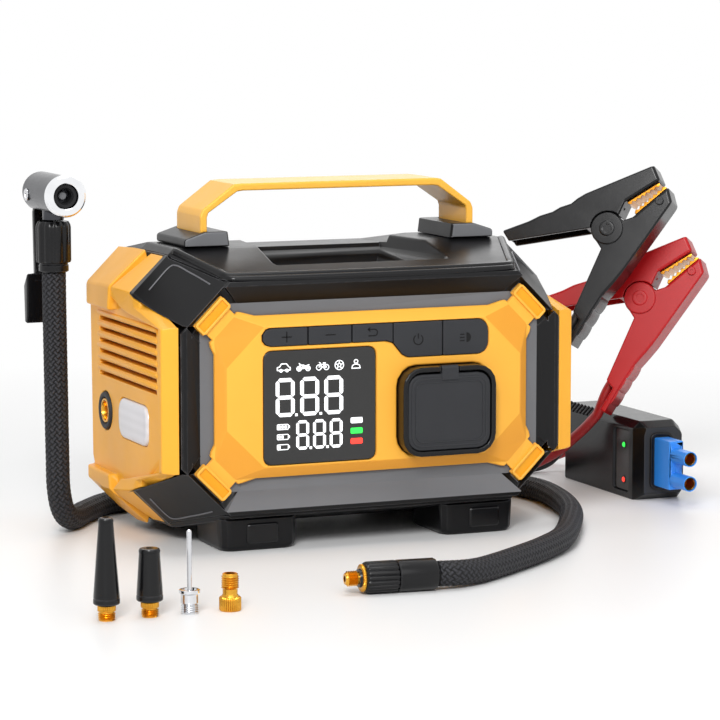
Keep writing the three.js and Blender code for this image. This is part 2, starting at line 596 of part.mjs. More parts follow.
// ---------------------------------------------------------------- air hose
const HOSE_PATH = [
  [COLLAR.x, CHUCK.y, COLLAR.z0 - GAP], [-141.2, 78.8, 40], [-141.1, 78, 0], [-141, 77.4, -34], [-140.2,
  78.4, -53],
  [-136.5, 83, -64.5], [-129.5, 92, -70.2], [-116, 111, HOSE.rest], [-95.3, 132.1, HOSE.rest], [-60,
  141.5, HOSE.rest],
  [0, 145, HOSE.rest], [60, 142.5, HOSE.rest], [98, 129.5, HOSE.rest], [122, 109, HOSE.rest], [131.2,
  83, HOSE.rest],
  [127.5, 48, HOSE.rest], [116.5, 13, HOSE.rest], [101, -17, HOSE.rest], [77.1, -54.4, HOSE.rest],
  [55, -76.5, HOSE.rest], [34, -93, HOSE.rest], [17, -105.2, HOSE.rest], [4, -113.6, -70.8], [-5, -118,
  -70.2],
  [-12, -120, -69.7], [-19.6, -119.5, -69.5],
];
const GRIP = { from: [-20, -119.4, -69.4], to: [-55.3, -115.9, -69.4], r: 7.5 };

function sweep(route, radius, sides, step) {
  const curve = new THREE.CatmullRomCurve3(route.map((p) => new THREE.Vector3(...p)), false, "centripetal");
  const circle = new THREE.Shape(
    Array.from({ length: sides }, (_, i) => {
      const a = (2 * Math.PI * i) / sides;
      return new THREE.Vector2(radius * Math.cos(a), radius * Math.sin(a));
    }));
  const steps = Math.ceil(curve.getLength() / step);
  const swept = new THREE.ExtrudeGeometry(circle, { steps, bevelEnabled: false, extrudePath: curve });
  return solid([...swept.attributes.position.array], [...Array(swept.attributes.position.count).keys()]);
}

// A turned profile along any line from one point to another.
function turnedAlong(profile, from, to, segments = 24, closed = false) {
  const body = turned(profile, [0, 0, 0], "z", segments, closed);
  const way = new THREE.Vector3(...to).sub(new THREE.Vector3(...from)).normalize();
  const turn = new THREE.Matrix4().makeRotationFromQuaternion(
    new THREE.Quaternion().setFromUnitVectors(new THREE.Vector3(0, 0, 1), way));
  turn.setPosition(...from);
  const geometry = toGeometry(body).applyMatrix4(turn);
  return solid([...geometry.attributes.position.array], [...geometry.index.array]);
}

function hoseParts() {
  piece("air_hose", sweep(HOSE_PATH, HOSE.r, 10, 13), FINISH.braid);
  const c = CHUCK;
  const k = COLLAR;
  piece("chuck_collar",
    turned([[0, k.z0], [k.neckR, k.z0], [k.neckR, k.z0 + k.neck - 1], [k.r, k.z0 + k.neck], [k.r,
      k.z1 - 2.4],
      [k.r - 1, k.z1], [0, k.z1]], [k.x, c.y, 0], "z", 2 * k.sides), FINISH.black);
  const barrel = turned(
    [[c.mouth, c.front], [c.r, c.front], [c.r + 0.3, c.front + 0.6], [c.r + 0.3, c.front + 2.4], [c.r,
    c.front + 3],
      [c.r, c.back - 2], [c.r - 2, c.back], [0, c.back], [0, c.front + c.deep], [c.bore, c.front + c.deep],
      [c.bore, c.front + 4], [c.mouth, c.front + 4]],
    [c.x, c.y, c.z], "y", 32, true);
  const hinge = [c.y + LEVER.y, c.z + LEVER.z];
  const slotHalf = LEVER.half + GAP;
  const slot = box(c.x - slotHalf, c.x + slotHalf, hinge[0] - LEVER.boss - 2 * GAP, c.y + c.back + 1,
    c.z - c.r - 2, c.z + 6);
  const screw = (r, reach) => rod(r, c.x - reach, c.x + reach, [0, ...hinge], "x", 20);
  piece("chuck_body",
    unite(
      barrel.subtract(slot), screw(LEVER.pin, c.r),
      cutAway(screw(LEVER.boss, c.r + 0.2), box(c.x - c.r + 1, c.x + c.r - 1, 80, 110, 80, 110)),
      rod(2.1, c.front + c.deep - 3, c.front + c.deep + 1, [c.x, c.y, c.z], "y", 12),
      turned([[0, k.z1 + GAP], [c.stem, k.z1 + GAP], [c.stem, c.z - 6], [0, c.z - 6]], [k.x, c.y, 0],
        "z", 20)),
    FINISH.chrome);
  // the lever hangs behind the hose: a boss round the hinge screw, a flat arm and a thumb paddle
  const beside = (points) => points.map(([y, z]) => [hinge[0] + y, hinge[1] + z]);
  const arm = prism(
    beside([...arcPoints(LEVER.boss, 0, 250, 10), [4.2, -9], [2.8, LEVER.low - 1], [5.4, LEVER.low - 1],
      [6.9, -8.5],
      [5.4, -3]]), c.x - LEVER.half, c.x + LEVER.half, "x");
  const paddle = prism(
    beside([[2.8, LEVER.low + 3], [5.4, LEVER.low], [8.2, LEVER.low - 3], [7.2, LEVER.paddle], [4.6,
      LEVER.paddle - 0.6],
      [3.4, LEVER.paddle + 3]]), c.x - LEVER.paddleHalf, c.x + LEVER.paddleHalf, "x");
  piece("chuck_lever", unite(arm, paddle).subtract(screw(LEVER.pin + GAP, c.r)), FINISH.chrome);
  const long = Math.hypot(GRIP.to[0] - GRIP.from[0], GRIP.to[1] - GRIP.from[1]);
  piece("hose_collar",
    turnedAlong([[0, 0.4], [GRIP.r - 0.8, 0.4], [GRIP.r, 1.4], [GRIP.r, long - 1.2], [GRIP.r - 1.2,
      long], [0, long]],
      GRIP.from, GRIP.to, 28), FINISH.black);
  piece("hose_tip",
    turnedAlong([[0, long + GAP], [4.6, long + GAP], [4.6, long + 1.4], [2.6, long + 1.4], [2.6,
      long + 2.4], [3.6, long + 3],
      [3.6, long + 8.2], [3, long + 9], [0, long + 9]], GRIP.from, GRIP.to, 20), FINISH.brass);
}

// ---------------------------------------------------------------- clamps
function clamp(colour, centre, finish) {
  const group = new THREE.Group();
  group.position.set(...centre);
  const rad = Math.PI / 180;
  group.rotation.set(-CLAMP.lean * rad, 0, -CLAMP.yaw * rad, "ZXY");
  kit.add(group);
  const { half, pin, cap, hub, lug, lugR, slot } = CLAMP;
  const hole = () => rod(pin + GAP, -40, 40, [0, 0, 0], "y", 20);
  // upper arm: the jaw on the right, a waved handle on the left, a narrow lug round the pin
  const upperShape = [[23.4, 34.8], [-13, 18.8], [-17.2, 16.1], [-20.5, 13.3], [-26.4, 11.2], [-30.6,
    8.6], [-37.4, 6.3],
    [-43.3, 3.2], [-57.3, -2.3], [-53.5, -7.8], [-11.1, -0.2], ...arcPoints(hub + GAP, 178, 52, 9),
    [8.7, 14.5], [27.2, 26.8]];
  const handleHollow = [[-56, -9], [-52.4, -3.6], [-42, 0.4], [-24, 7], [-16, 8], [-12, 2.6], [-12, -3]];
  const upper = unite(
    prism(upperShape, -half, half, "y").subtract(prism(handleHollow, -half + 2.4, half - 2.4, "y")),
    prism([...arcPoints(lugR, 175, 425, 12), [8.4, 12], [-8.6, 12.4], [-10.4, 1]], -lug, lug, "y"));
  piece(colour + "_upper_arm", upper.subtract(hole()), finish, group);
  // lower arm: the jaw on the right, cheeks on both sides of the lug, a channel handle hanging down
  const lowerShape = [[31.7, 23], [34.2, 15], [8.1, -25.1], [4.1, -30.3], [-2.3, -38.1], [-9.4, -50.2],
    [-16.5, -63],
    [-19, -61.4], [-12.6, -49.6], [-16.3, -45.3], [-2.9, -10.9], ...arcPoints(hub, 232, 30, 12), [13.3,
    6.5]];
  const channel = [[-18, -50], [-14.2, -50.6], [-8, -40.4], [-1.6, -31.4], [-0.6, -20], [-8, -20]];
  const lower = cutAway(
    prism(lowerShape, -half, half, "y"),
    prism(channel, -half + 2.4, half - 2.4, "y"),
    box(-10, 12, -slot, slot, -14.5, 40),
    hole());
  piece(colour + "_lower_arm", lower, finish, group);
  piece(colour + "_pivot_pin",
    turned([[0, -half - 1.1], [2.1, -half - 1.1], [2.1, -half - 1.6], [3.8, -half - 1.6], [4.3,
      -half - 1.1],
      [cap - 0.4, -half - 1.1], [cap, -half - 0.7], [cap, -half - GAP], [pin, -half - GAP], [pin,
      half + 1.6],
      [0, half + 1.6]], [0, 0, 0], "y", 28), finish, group);
  piece(colour + "_spring", pipe(6.2, 3.6, lug + GAP, slot - GAP, [0, 0, 0], "y", 24), FINISH.steel, group);
  // jaws: toothed strips lying inside the opening
  const teeth = (a, b, count, deep, side) => {
    const way = new THREE.Vector2(b[0] - a[0], b[1] - a[1]);
    const off = new THREE.Vector2(-way.y, way.x).normalize().multiplyScalar(side);
    const points = [];
    for (let i = 0; i < count; i++) {
      const at = new THREE.Vector2(...a).addScaledVector(way, i / count);
      const tip = new THREE.Vector2(...a).addScaledVector(way, (i + 0.5) / count).addScaledVector(off,
        deep);
      points.push([at.x, at.y], [tip.x, tip.y]);
    }
    points.push(b);
    return [...points, [b[0] - off.x * 0.9, b[1] - off.y * 0.9], [a[0] - off.x * 0.9, a[1] - off.y * 0.9]];
  };
  const jaw = (a, b, side) => prism(teeth(a, b, 7, 1.2, side), -half + 2, half - 2, "y");
  piece(colour + "_upper_jaw", jaw([10.3, 13.8], [26.9, 24.8], -1), FINISH.brass, group);
  piece(colour + "_lower_jaw", jaw([14.1, 8.9], [30.2, 23.4], 1), FINISH.brass, group);
}

// ---------------------------------------------------------------- smart box, plug and leads
function boxParts() {
  const { x0, x1, y0, y1, z0, z1, cut, nose, window, sunk } = BOX;
  const section = (y, inward, top, bottom) => asRing([
    [x0 + inward, z0 + bottom], [x1 - inward / 3, z0 + bottom], [x1 - inward / 3, z1 - top - cut],
    [x1 - cut - inward / 3, z1 - top], [x0 + cut + inward / 3, z1 - top], [x0 + inward,
    z1 - top - cut]], y);
  const body = loft([
    section(y0, 3.9, 3.2, 3.8), section(y0 + nose, 0, 0, 0), section(y1 - nose, 0, 0, 0), section(y1, 3,
      3, 3),
  ]);
  const led = prism(roundRect((window[0] + window[1]) / 2, -56.7, window[1] - window[0], 34, 2, 2),
    x0 - 1, x0 + sunk, "x");
  piece("smart_box", body.subtract(led), FINISH.black);
  const p = PLUG;
  const tubes = p.tubeZ.map((z) => rod(p.tubeR, p.tubeY, p.y0 + 1, [p.tubeX, 0, z], "y", 20));
  const bores = p.tubeZ.map((z) => rod(p.bore + GAP, p.tubeY - 4, p.tubeY + 10, [p.tubeX, 0, z], "y", 20));
  piece("plug_housing", cutAway(unite(box(p.x0, p.x1, p.y0, y0 - GAP, p.z0, p.z1), ...tubes), ...bores),
    FINISH.blue);
  ["plus_contact", "minus_contact"].forEach((name, i) =>
    piece(name, pipe(p.bore, 2, p.tubeY + 0.5, p.tubeY + 9.6, [p.tubeX, 0, p.tubeZ[i]], "y", 20),
      FINISH.brass));
}

const LEAD_R = 2.8;
const LEAD_REST = FLOOR + LEAD_R + 0.6;
const RED_PATH = [[179.7, 86, -13.1], [175.3, 87.3, -20.8], [172.9, 88.4, -27.5], [172, 91, -33],
  [171.2, 97.5, -38.2],
  [170, 103.5, -43], [167, 112.5, -50.3], [164, 119, -56], [158, 130, -63.5], [151, 142, -69.5], [143,
  155, -73],
  [136, 170, LEAD_REST], [138, 187, LEAD_REST], [152, 199, LEAD_REST], [172, 199, LEAD_REST], [189, 190,
  -72.8],
  [197.5, 178, -67.5], [199.6, 165, -59.5], [199.5, 156, -55.6], [199.5, BOX.y1 + GAP, -55]];
const BLACK_PATH = [[152.7, 73, 27.6], [148.2, 74.4, 19.7], [144.6, 77.5, 11], [142, 83, 1], [140, 90.5,
  -11],
  [138.5, 100, -23.5], [138, 111, -35.5], [138, 123, -45.5], [138.6, 135, -53.5], [141, 146, -60], [146,
  155, -65.5],
  [153, 161, -70], [162, 165, -73], [171, 166.5, LEAD_REST], [179, 165.5, -71], [185, 163, -64.5],
  [187, 159, -58.5], [186.6, 154, -55.3], [186.5, BOX.y1 + GAP, -55]];

function leadParts() {
  piece("red_lead", sweep(RED_PATH, LEAD_R, 8, 7), FINISH.red);
  piece("black_lead", sweep(BLACK_PATH, LEAD_R, 8, 7), FINISH.black);
}

// ---------------------------------------------------------------- nozzles
function nozzleParts() {
  const up = (h) => FLOOR + h;
  const cone = (name, [x, y], height, tipR) => {
    const c = CONE;
    piece(name,
      turned([[c.wall, up(c.base + GAP)], [c.r - 0.3, up(c.base + GAP)], [c.r, up(c.base + 1.1)],
        [tipR + 0.3, up(height - 0.8)], [tipR - 0.2, up(height)], [c.wall, up(height)]], [x, y, 0], "z",
        24, true),
      FINISH.black);
    piece(name + "_base", pipe(c.threadR, c.bore, up(0), up(c.base), [x, y, 0], "z", 24), FINISH.brass);
  };
  cone("long_cone", NOZZLES.long, CONE.longH, CONE.longTip);
  cone("short_cone", NOZZLES.short, CONE.shortH, CONE.shortTip);
  const n = NEEDLE;
  piece("ball_needle",
    turned([[0, up(0)], [n.foot, up(0)], [n.foot, up(n.footH)], [n.flange, up(n.footH + 0.9)],
      [n.flange, up(n.footH + 1.5)],
      [n.foot - 0.6, up(n.footH + 1.5)], [n.foot - 1, up(n.footH + 0.3)], [n.r, up(n.footH + 0.3)],
      [n.r, up(n.height - 0.6)], [n.r - 0.4, up(n.height)], [0, up(n.height)]], [...NOZZLES.needle, 0],
      "z", 24),
    FINISH.chrome);
  const a = ADAPTOR;
  piece("valve_adaptor",
    turned([[a.bore, up(0)], [a.r - 0.6, up(0)], [a.r, up(0.8)], [a.r, up(a.foot)], [a.waist + 0.2,
      up(a.foot + 1)],
      [a.waist, up(a.waistH)], [a.head, up(a.waistH + 0.6)], [a.head, up(a.height)], [a.bore,
      up(a.height)]],
      [...NOZZLES.adaptor, 0], "z", 28, true), FINISH.brass);
}

// ---------------------------------------------------------------- the whole kit
piece("front_frame", frontFrame(), FINISH.black);
piece("rear_housing", rearHousing(), FINISH.black);
piece("left_end_cap", endCap(-1), FINISH.yellow);
piece("right_end_cap", endCap(1), FINISH.yellow);
piece("top_cover", topCover(), FINISH.black);
piece("bottom_cover", bottomCover(), FINISH.black);
piece("front_panel", frontPanel(), FINISH.yellow);
piece("display_window", prism(displayOutline(0), DISPLAY.y, PANEL.back, "y"), FINISH.glass);
keyParts();
socketParts();
handleParts();
insideParts();
sideParts();
hoseParts();
clamp("red", CLAMP.red, FINISH.red);
clamp("black", CLAMP.black, FINISH.black);
boxParts();
leadParts();
nozzleParts();

// The frame's origin is under the middle of the pack and the nozzles, on the floor.
const west = NOZZLES.long[0] - CONE.r;
const south = NOZZLES.adaptor[1] - ADAPTOR.r;
kit.position.set(-(west + CAP_OUT) / 2, -(south + REAR) / 2, -FLOOR);

export default root;
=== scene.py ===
"""The looks of a jump starter pack with its air hose, clamps, smart box and nozzles.

Sizes are millimetres in the pack's own frame: x to the right, y to the back, z up, zero in the
middle of the front. at() turns them into metres in the row frame, where every mesh is made.
A turned piece is a list of (radius, height), with its height along the line that it is turned round.
"""

import logging
import math
from dataclasses import dataclass, field
from enum import Enum
from typing import Callable, Iterable, Sequence

import bmesh
import bpy
from mathutils import Matrix, Vector


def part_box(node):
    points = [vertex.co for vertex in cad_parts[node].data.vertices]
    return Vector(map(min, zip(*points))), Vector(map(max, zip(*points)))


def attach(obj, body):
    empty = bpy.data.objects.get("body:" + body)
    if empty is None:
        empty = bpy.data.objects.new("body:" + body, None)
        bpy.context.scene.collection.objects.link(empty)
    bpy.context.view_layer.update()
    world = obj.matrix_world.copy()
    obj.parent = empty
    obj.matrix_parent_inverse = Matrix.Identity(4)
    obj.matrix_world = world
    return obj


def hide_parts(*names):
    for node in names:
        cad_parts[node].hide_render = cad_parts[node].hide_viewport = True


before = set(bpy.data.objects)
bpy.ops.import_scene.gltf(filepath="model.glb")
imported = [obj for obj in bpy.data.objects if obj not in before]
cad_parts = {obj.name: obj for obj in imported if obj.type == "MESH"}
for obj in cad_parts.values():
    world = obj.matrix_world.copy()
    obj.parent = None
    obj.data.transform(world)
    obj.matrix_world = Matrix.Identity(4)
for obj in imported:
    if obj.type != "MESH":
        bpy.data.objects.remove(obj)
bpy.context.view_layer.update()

log = logging.getLogger("jump_starter_pack")
MM = 0.001
REAR = 124.0  # back of the housing
LIFT = 77.0  # height of the pack's zero above the floor
SIDES = ((-1, "left"), (1, "right"))
LEVELS = ((1, "upper"), (-1, "lower"))
FACING = 0.9  # a face whose normal has at least this much of a direction looks that way
Point = tuple[float, float, float]
Flat = tuple[float, float]
Color = tuple[float, float, float, float]
Placer = Callable[[float, float, float], Vector]
UP: Point = (0, 0, 1)
BACK: Point = (0, 1, 0)
LEFT: Point = (-1, 0, 0)


def pack_zero() -> Vector:
    """Find the pack's own zero in the row frame.

    Returns:
        The zero as a point in metres.
    """
    low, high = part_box("rear_housing")
    return Vector(((low[0] + high[0]) / 2, high[1] - REAR * MM, LIFT * MM))


ZERO = pack_zero()


def at(x: float, y: float, z: float) -> Vector:
    """Turn a point of the pack's frame in millimetres into metres in the row frame."""
    return ZERO + Vector((x, y, z)) * MM


def local(x: float, y: float, z: float) -> Vector:
    """Millimetres about the origin, for a shape that is repeated and placed afterwards."""
    return Vector((x, y, z)) * MM


# ------------------------------------------------------------------ finishes
def linear(hexed: str, share: float = 1.0) -> Color:
    """Turn a colour as it looks on screen into the shader's linear one.

    Args:
        hexed: six hexadecimal digits.
        share: how much of its light is kept.

    Returns:
        Red, green, blue and alpha.
    """
    parts = [int(hexed[i:i + 2], 16) / 255 for i in (0, 2, 4)]
    curve = [p / 12.92 if p <= 0.04045 else ((p + 0.055) / 1.055) ** 2.4 for p in parts]
    return (*(c * share for c in curve), 1.0)


class Graph:
    """A material's nodes, with short calls for those that the finishes share."""

    def __init__(self, name: str) -> None:
        """Start a material with one plain shader.

        Args:
            name: the material's name.
        """
        self.material = bpy.data.materials.new(name)
        self.material.use_nodes = True
        self.tree = self.material.node_tree
        self.tree.nodes.clear()
        self.out = self.add("ShaderNodeOutputMaterial")
        self.shader = self.add("ShaderNodeBsdfPrincipled")
        self.link(self.shader.outputs[0], self.out.inputs[0])
        self.coords = self.add("ShaderNodeTexCoord")

    def add(self, kind: str, **settings: object) -> bpy.types.Node:
        """Add a node and set its properties.

        Args:
            kind: the node's type.
            **settings: its properties.

        Returns:
            The node.
        """
        node = self.tree.nodes.new(kind)
        for key, value in settings.items():
            setattr(node, key, value)
        return node

    def link(self, a: bpy.types.NodeSocket, b: bpy.types.NodeSocket) -> None:
        """Join an output to an input."""
        self.tree.links.new(a, b)

    def feed(self, socket: bpy.types.NodeSocket, value: object) -> None:
        """Give an input its value.

        Args:
            socket: the input.
            value: a number, a colour or another node's output.
        """
        if isinstance(value, bpy.types.NodeSocket):
            self.link(value, socket)
        else:
            socket.default_value = value

    def place(self, scale: Point = (1, 1, 1), turn: Point = (0, 0, 0)) -> bpy.types.NodeSocket:
        """Scale and turn the Object coordinates.

        Args:
            scale: along each axis.
            turn: about each axis, in radians.

        Returns:
            The new coordinates.
        """
        mapping = self.add("ShaderNodeMapping")
        self.link(self.coords.outputs["Object"], mapping.inputs["Vector"])
        mapping.inputs["Scale"].default_value = scale
        mapping.inputs["Rotation"].default_value = turn
        return mapping.outputs[0]

    def noise(self, size: float, detail: float = 3, vector: bpy.types.NodeSocket | None = None,
              rough: float = 0.5) -> bpy.types.NodeSocket:
        """Noise whose lumps are about size metres wide.

        Args:
            size: width of a lump in metres.
            detail: octaves.
            vector: coordinates, or the plain Object ones.
            rough: weight of the finer octaves.

        Returns:
            The noise's value, about 0.5 in the middle.
        """
        node = self.add("ShaderNodeTexNoise")
        node.inputs["Scale"].default_value = 1 / size
        node.inputs["Detail"].default_value = detail
        node.inputs["Roughness"].default_value = rough
        self.link(vector or self.coords.outputs["Object"], node.inputs["Vector"])
        return node.outputs[0]

    def math(self, operation: str, a: object, b: object = 0.0, c: object = 0.0) -> bpy.types.NodeSocket:
        """Do one arithmetic step.

        Args:
            operation: the step's name.
            a: its first number or output.
            b: its second one.
            c: its third one.

        Returns:
            The result.
        """
        node = self.add("ShaderNodeMath", operation=operation)
        for socket, value in zip(node.inputs, (a, b, c)):
            self.feed(socket, value)
        return node.outputs[0]

    def span(self, value: bpy.types.NodeSocket, given: Flat, wanted: Flat) -> bpy.types.NodeSocket:
        """Carry a value from one range to another, held at its ends.

        Args:
            value: the value.
            given: the range that it has.
            wanted: the range that it gets.

        Returns:
            The value in its new range.
        """
        node = self.add("ShaderNodeMapRange")
        self.link(value, node.inputs["Value"])
        for key, number in zip(("From Min", "From Max", "To Min", "To Max"), (*given, *wanted)):
            node.inputs[key].default_value = number
        return node.outputs[0]

    def patchy(self, size: float, low: float, high: float, detail: float = 3, rough: float = 0.5,
               given: Flat = (0.3, 0.7)) -> bpy.types.NodeSocket:
        """Noise whose middle part is spread from one number to another.

        Args:
            size: width of a lump in metres.
            low: the result where the noise is low.
            high: the result where it is high.
            detail: octaves.
            rough: weight of the finer octaves.
            given: the part of the noise's range that is spread.

        Returns:
            The spread noise.
        """
        return self.span(self.noise(size, detail, rough=rough), given, (low, high))

    def blend(self, factor: object, a: object, b: object) -> bpy.types.NodeSocket:
        """Mix two colours.

        Args:
            factor: share of the second one.
            a: the first colour.
            b: the second colour.

        Returns:
            The mixed colour.
        """
        node = self.add("ShaderNodeMix", data_type="RGBA", blend_type="MIX")
        for socket, value in zip((node.inputs["Factor"], node.inputs[6], node.inputs[7]), (factor, a, b)):
            self.feed(socket, value)
        return node.outputs[2]

    def bump(self, height: bpy.types.NodeSocket, depth: float, strength: float = 1.0,
             under: bpy.types.NodeSocket | None = None) -> bpy.types.NodeSocket:
        """Raise a relief, over another one where there is one.

        Args:
            height: the relief, from 0 to 1.
            depth: how deep it is, in metres.
            strength: how far it shows.
            under: the relief below it.

        Returns:
            The bent normal.
        """
        node = self.add("ShaderNodeBump")
        node.inputs["Distance"].default_value = depth
        node.inputs["Strength"].default_value = strength
        self.link(height, node.inputs["Height"])
        if under:
            self.link(under, node.inputs["Normal"])
        return node.outputs[0]

    def edges(self, radius: float) -> bpy.types.NodeSocket:
        """Find the edges of a piece.

        Args:
            radius: how far from an edge it still counts, in metres.

        Returns:
            One on edges and zero on flat stretches.
        """
        soft = self.add("ShaderNodeBevel", samples=4)
        soft.inputs["Radius"].default_value = radius
        plain_normal = self.add("ShaderNodeNewGeometry")
        dot = self.add("ShaderNodeVectorMath", operation="DOT_PRODUCT")
        self.link(soft.outputs[0], dot.inputs[0])
        self.link(plain_normal.outputs["Normal"], dot.inputs[1])
        flat, sharp = 0.995, 0.8
        return self.span(dot.outputs["Value"], (flat, sharp), (0.0, 1.0))

    def set(self, **inputs: object) -> None:
        """Set or link the shader's inputs.

        Args:
            **inputs: their values; underscores in a name stand for spaces.
        """
        for key, value in inputs.items():
            self.feed(self.shader.inputs[key.replace("_", " ")], value)


@dataclass(frozen=True)
class Plastic:
    """Moulded plastic with a spark-eroded grain and lighter edges, partly rubbed wear and partly a painted
    highlight; sizes in millimetres.
    """

    name: str
    color: str
    rough: float = 0.4
    grain: float = 0.5
    relief: float = 0.012
    mottle: float = 0.05
    rubbed: str = ""
    worn: float = 0.25
    gloss: float = 0.5
    cloud: float = 45.0
    smear: float = 18.0
    scuff: float = 6.0
    edge: float = 0.7

    def material(self) -> bpy.types.Material:
        """Make the finish.

        Returns:
            The material.
        """
        g = Graph(self.name)
        clouds = g.patchy(self.cloud * MM, 0, 1, 4, given=(0.35, 0.65))
        color = g.blend(clouds, linear(self.color, 1 - 2 * self.mottle), linear(self.color))
        # lighter edges: partly rubbed wear, partly a painted highlight where light would catch the roundings
        if self.rubbed:
            edges = g.edges(self.edge * MM)
            rub_and_highlight_mask = g.math("MULTIPLY", edges, g.patchy(self.scuff * MM, 0.3, 1.0, 4, given=(0.35, 0.7)))
            color = g.blend(g.math("MULTIPLY", rub_and_highlight_mask, self.worn), color, linear(self.rubbed))
        smears = g.patchy(self.smear * MM, self.rough * 0.88, self.rough * 1.14, 5, 0.7)
        fine = g.noise(self.grain * MM, 2)
        g.set(Base_Color=color, Roughness=smears, Normal=g.bump(fine, self.relief * MM, 0.9),
              Specular_IOR_Level=self.gloss)
        return g.material


@dataclass(frozen=True)
class Metal:
    """Turned or plated metal with fine tool lines and a little haze; sizes in millimetres."""

    name: str
    color: str
    rough: float = 0.2
    haze: float = 0.06
    tarnish: str = ""
    lines: float = 0.25
    relief: float = 0.004
    stain: float = 9.0
    breath: float = 5.0

    def material(self) -> bpy.types.Material:
        """Make the finish.

        Returns:
            The material.
        """
        g = Graph(self.name)
        deep = linear(self.tarnish) if self.tarnish else linear(self.color, 0.8)
        stains = g.patchy(self.stain * MM, 0, 0.6, 5, 0.65, (0.42, 0.75))
        color = g.blend(stains, linear(self.color), deep)
        lined = g.noise(self.lines * MM, 3, g.place((1, 1, 7)))
        rough = g.patchy(self.breath * MM, self.rough, self.rough + self.haze, 4)
        g.set(Base_Color=color, Metallic=1.0, Roughness=rough, Normal=g.bump(lined, self.relief * MM, 0.8))
        return g.material


@dataclass(frozen=True)
class Glow:
    """A lit mark or lamp: a coloured face with its own light behind a thin diffuser."""

    name: str
    color: str
    light: float = 0.9
    rough: float = 0.35
    patch: float = 2.5

    def material(self) -> bpy.types.Material:
        """Make the finish.

        Returns:
            The material.
        """
        g = Graph(self.name)
        patches = g.patchy(self.patch * MM, 0.9, 1.0, 2)
        tone = g.blend(patches, linear(self.color, 0.8), linear(self.color))
        g.set(Base_Color=tone, Roughness=g.patchy(MM, self.rough, self.rough + 0.1), Emission_Color=tone,
              Emission_Strength=self.light)
        return g.material


@dataclass(frozen=True)
class Glass:
    """Dark glass of the display, smooth with the faintest wave; sizes in millimetres."""

    name: str
    color: str = "0e0e10"
    rough: float = 0.2
    gloss: float = 0.06
    cloud: float = 30.0
    wave: float = 12.0
    smear: float = 8.0

    def material(self) -> bpy.types.Material:
        """Make the finish.

        Returns:
            The material.
        """
        g = Graph(self.name)
        tone = g.blend(g.patchy(self.cloud * MM, 0, 1, 2), linear(self.color), linear(self.color, 1.25))
        wave = g.bump(g.noise(self.wave * MM, 1), 0.01 * MM, 0.4)
        smears = g.patchy(self.smear * MM, self.rough, self.rough + 0.06, 4, given=(0.4, 0.8))
        g.set(Base_Color=tone, Roughness=smears, Normal=wave, Specular_IOR_Level=self.gloss)
        return g.material


WAVE_PHASE = 20  # a wave texture's phase grows by this for each unit, in radians


@dataclass(frozen=True)
class Lens:
    """A milky lamp lens with a fine prism pattern behind its face and a faint painted glow, though the lamp
    is off; sizes in millimetres.
    """

    name: str
    color: str = "dcdade"
    pitch: float = 4.735
    # a faint painted glow that brightens the milky lens; the lamp is not lit
    light: float = 0.06
    coat: float = 0.5

    def material(self) -> bpy.types.Material:
        """Make the finish.

        Returns:
            The material.
        """
        g = Graph(self.name)
        ribs = g.add("ShaderNodeTexWave", wave_type="BANDS", bands_direction="Z")
        g.link(g.coords.outputs["Object"], ribs.inputs["Vector"])
        ribs.inputs["Scale"].default_value = 2 * math.pi / WAVE_PHASE / (self.pitch * MM)
        tone = g.blend(ribs.outputs["Fac"], linear(self.color, 0.93), linear(self.color))
        g.set(Base_Color=tone, Roughness=g.patchy(4 * MM, 0.3, 0.4),
              Normal=g.bump(ribs.outputs["Fac"], 0.02 * MM, 0.3), Emission_Color=tone,
              Emission_Strength=self.light, Coat_Weight=self.coat)
        return g.material


@dataclass(frozen=True)
class Braid:
    """A woven polyester sleeve; its strands follow the hose's own UV map. Sizes in millimetres."""

    name: str
    strands: int
    color: str = "020203"
    # colour of the painted highlight on the crowns of the plaits
    sheen: str = "3c3c42"
    fibre: float = 0.35
    gloss: float = 0.35

    def material(self) -> bpy.types.Material:
        """Make the finish.

        Returns:
            The material.
        """
        g = Graph(self.name)
        split = g.add("ShaderNodeSeparateXYZ")
        g.link(g.coords.outputs["UV"], split.inputs[0])
        around, along = split.outputs[0], split.outputs[1]
        heights, cells = [], []
        for sign in (1.0, -1.0):
            lane = g.math("MULTIPLY", g.math("MULTIPLY_ADD", along, sign, around), float(self.strands))
            part = g.math("FRACT", lane)
            cells.append(g.math("FLOOR", lane))
            off_middle = g.math("ABSOLUTE", g.math("MULTIPLY_ADD", part, 2.0, -1.0))
            heights.append(g.math("SUBTRACT", 1.0, g.math("POWER", off_middle, 2.0)))
        turn = g.math("MODULO", g.math("ABSOLUTE", g.math("ADD", *cells)), 2.0)
        over = g.math("GREATER_THAN", turn, 0.5)
        height = g.math("ADD", g.math("MULTIPLY", heights[0], over),
                        g.math("MULTIPLY", heights[1], g.math("SUBTRACT", 1.0, over)))
        fibres = g.noise(self.fibre * MM, 3)
        # the crowns of the plaits are lightened: a painted highlight, broken by the fibre noise
        crown = g.math("MULTIPLY", g.math("POWER", height, 3.0), g.span(fibres, (0.3, 0.7), (0.3, 1.0)))
        tone = g.blend(crown, linear(self.color), linear(self.sheen))
        relief = g.bump(fibres, 0.05 * MM, 0.8, g.bump(height, 0.5 * MM, 1.0))
        g.set(Base_Color=tone, Roughness=g.span(fibres, (0.3, 0.7), (0.5, 0.75)), Normal=relief,
              Specular_IOR_Level=self.gloss)
        return g.material


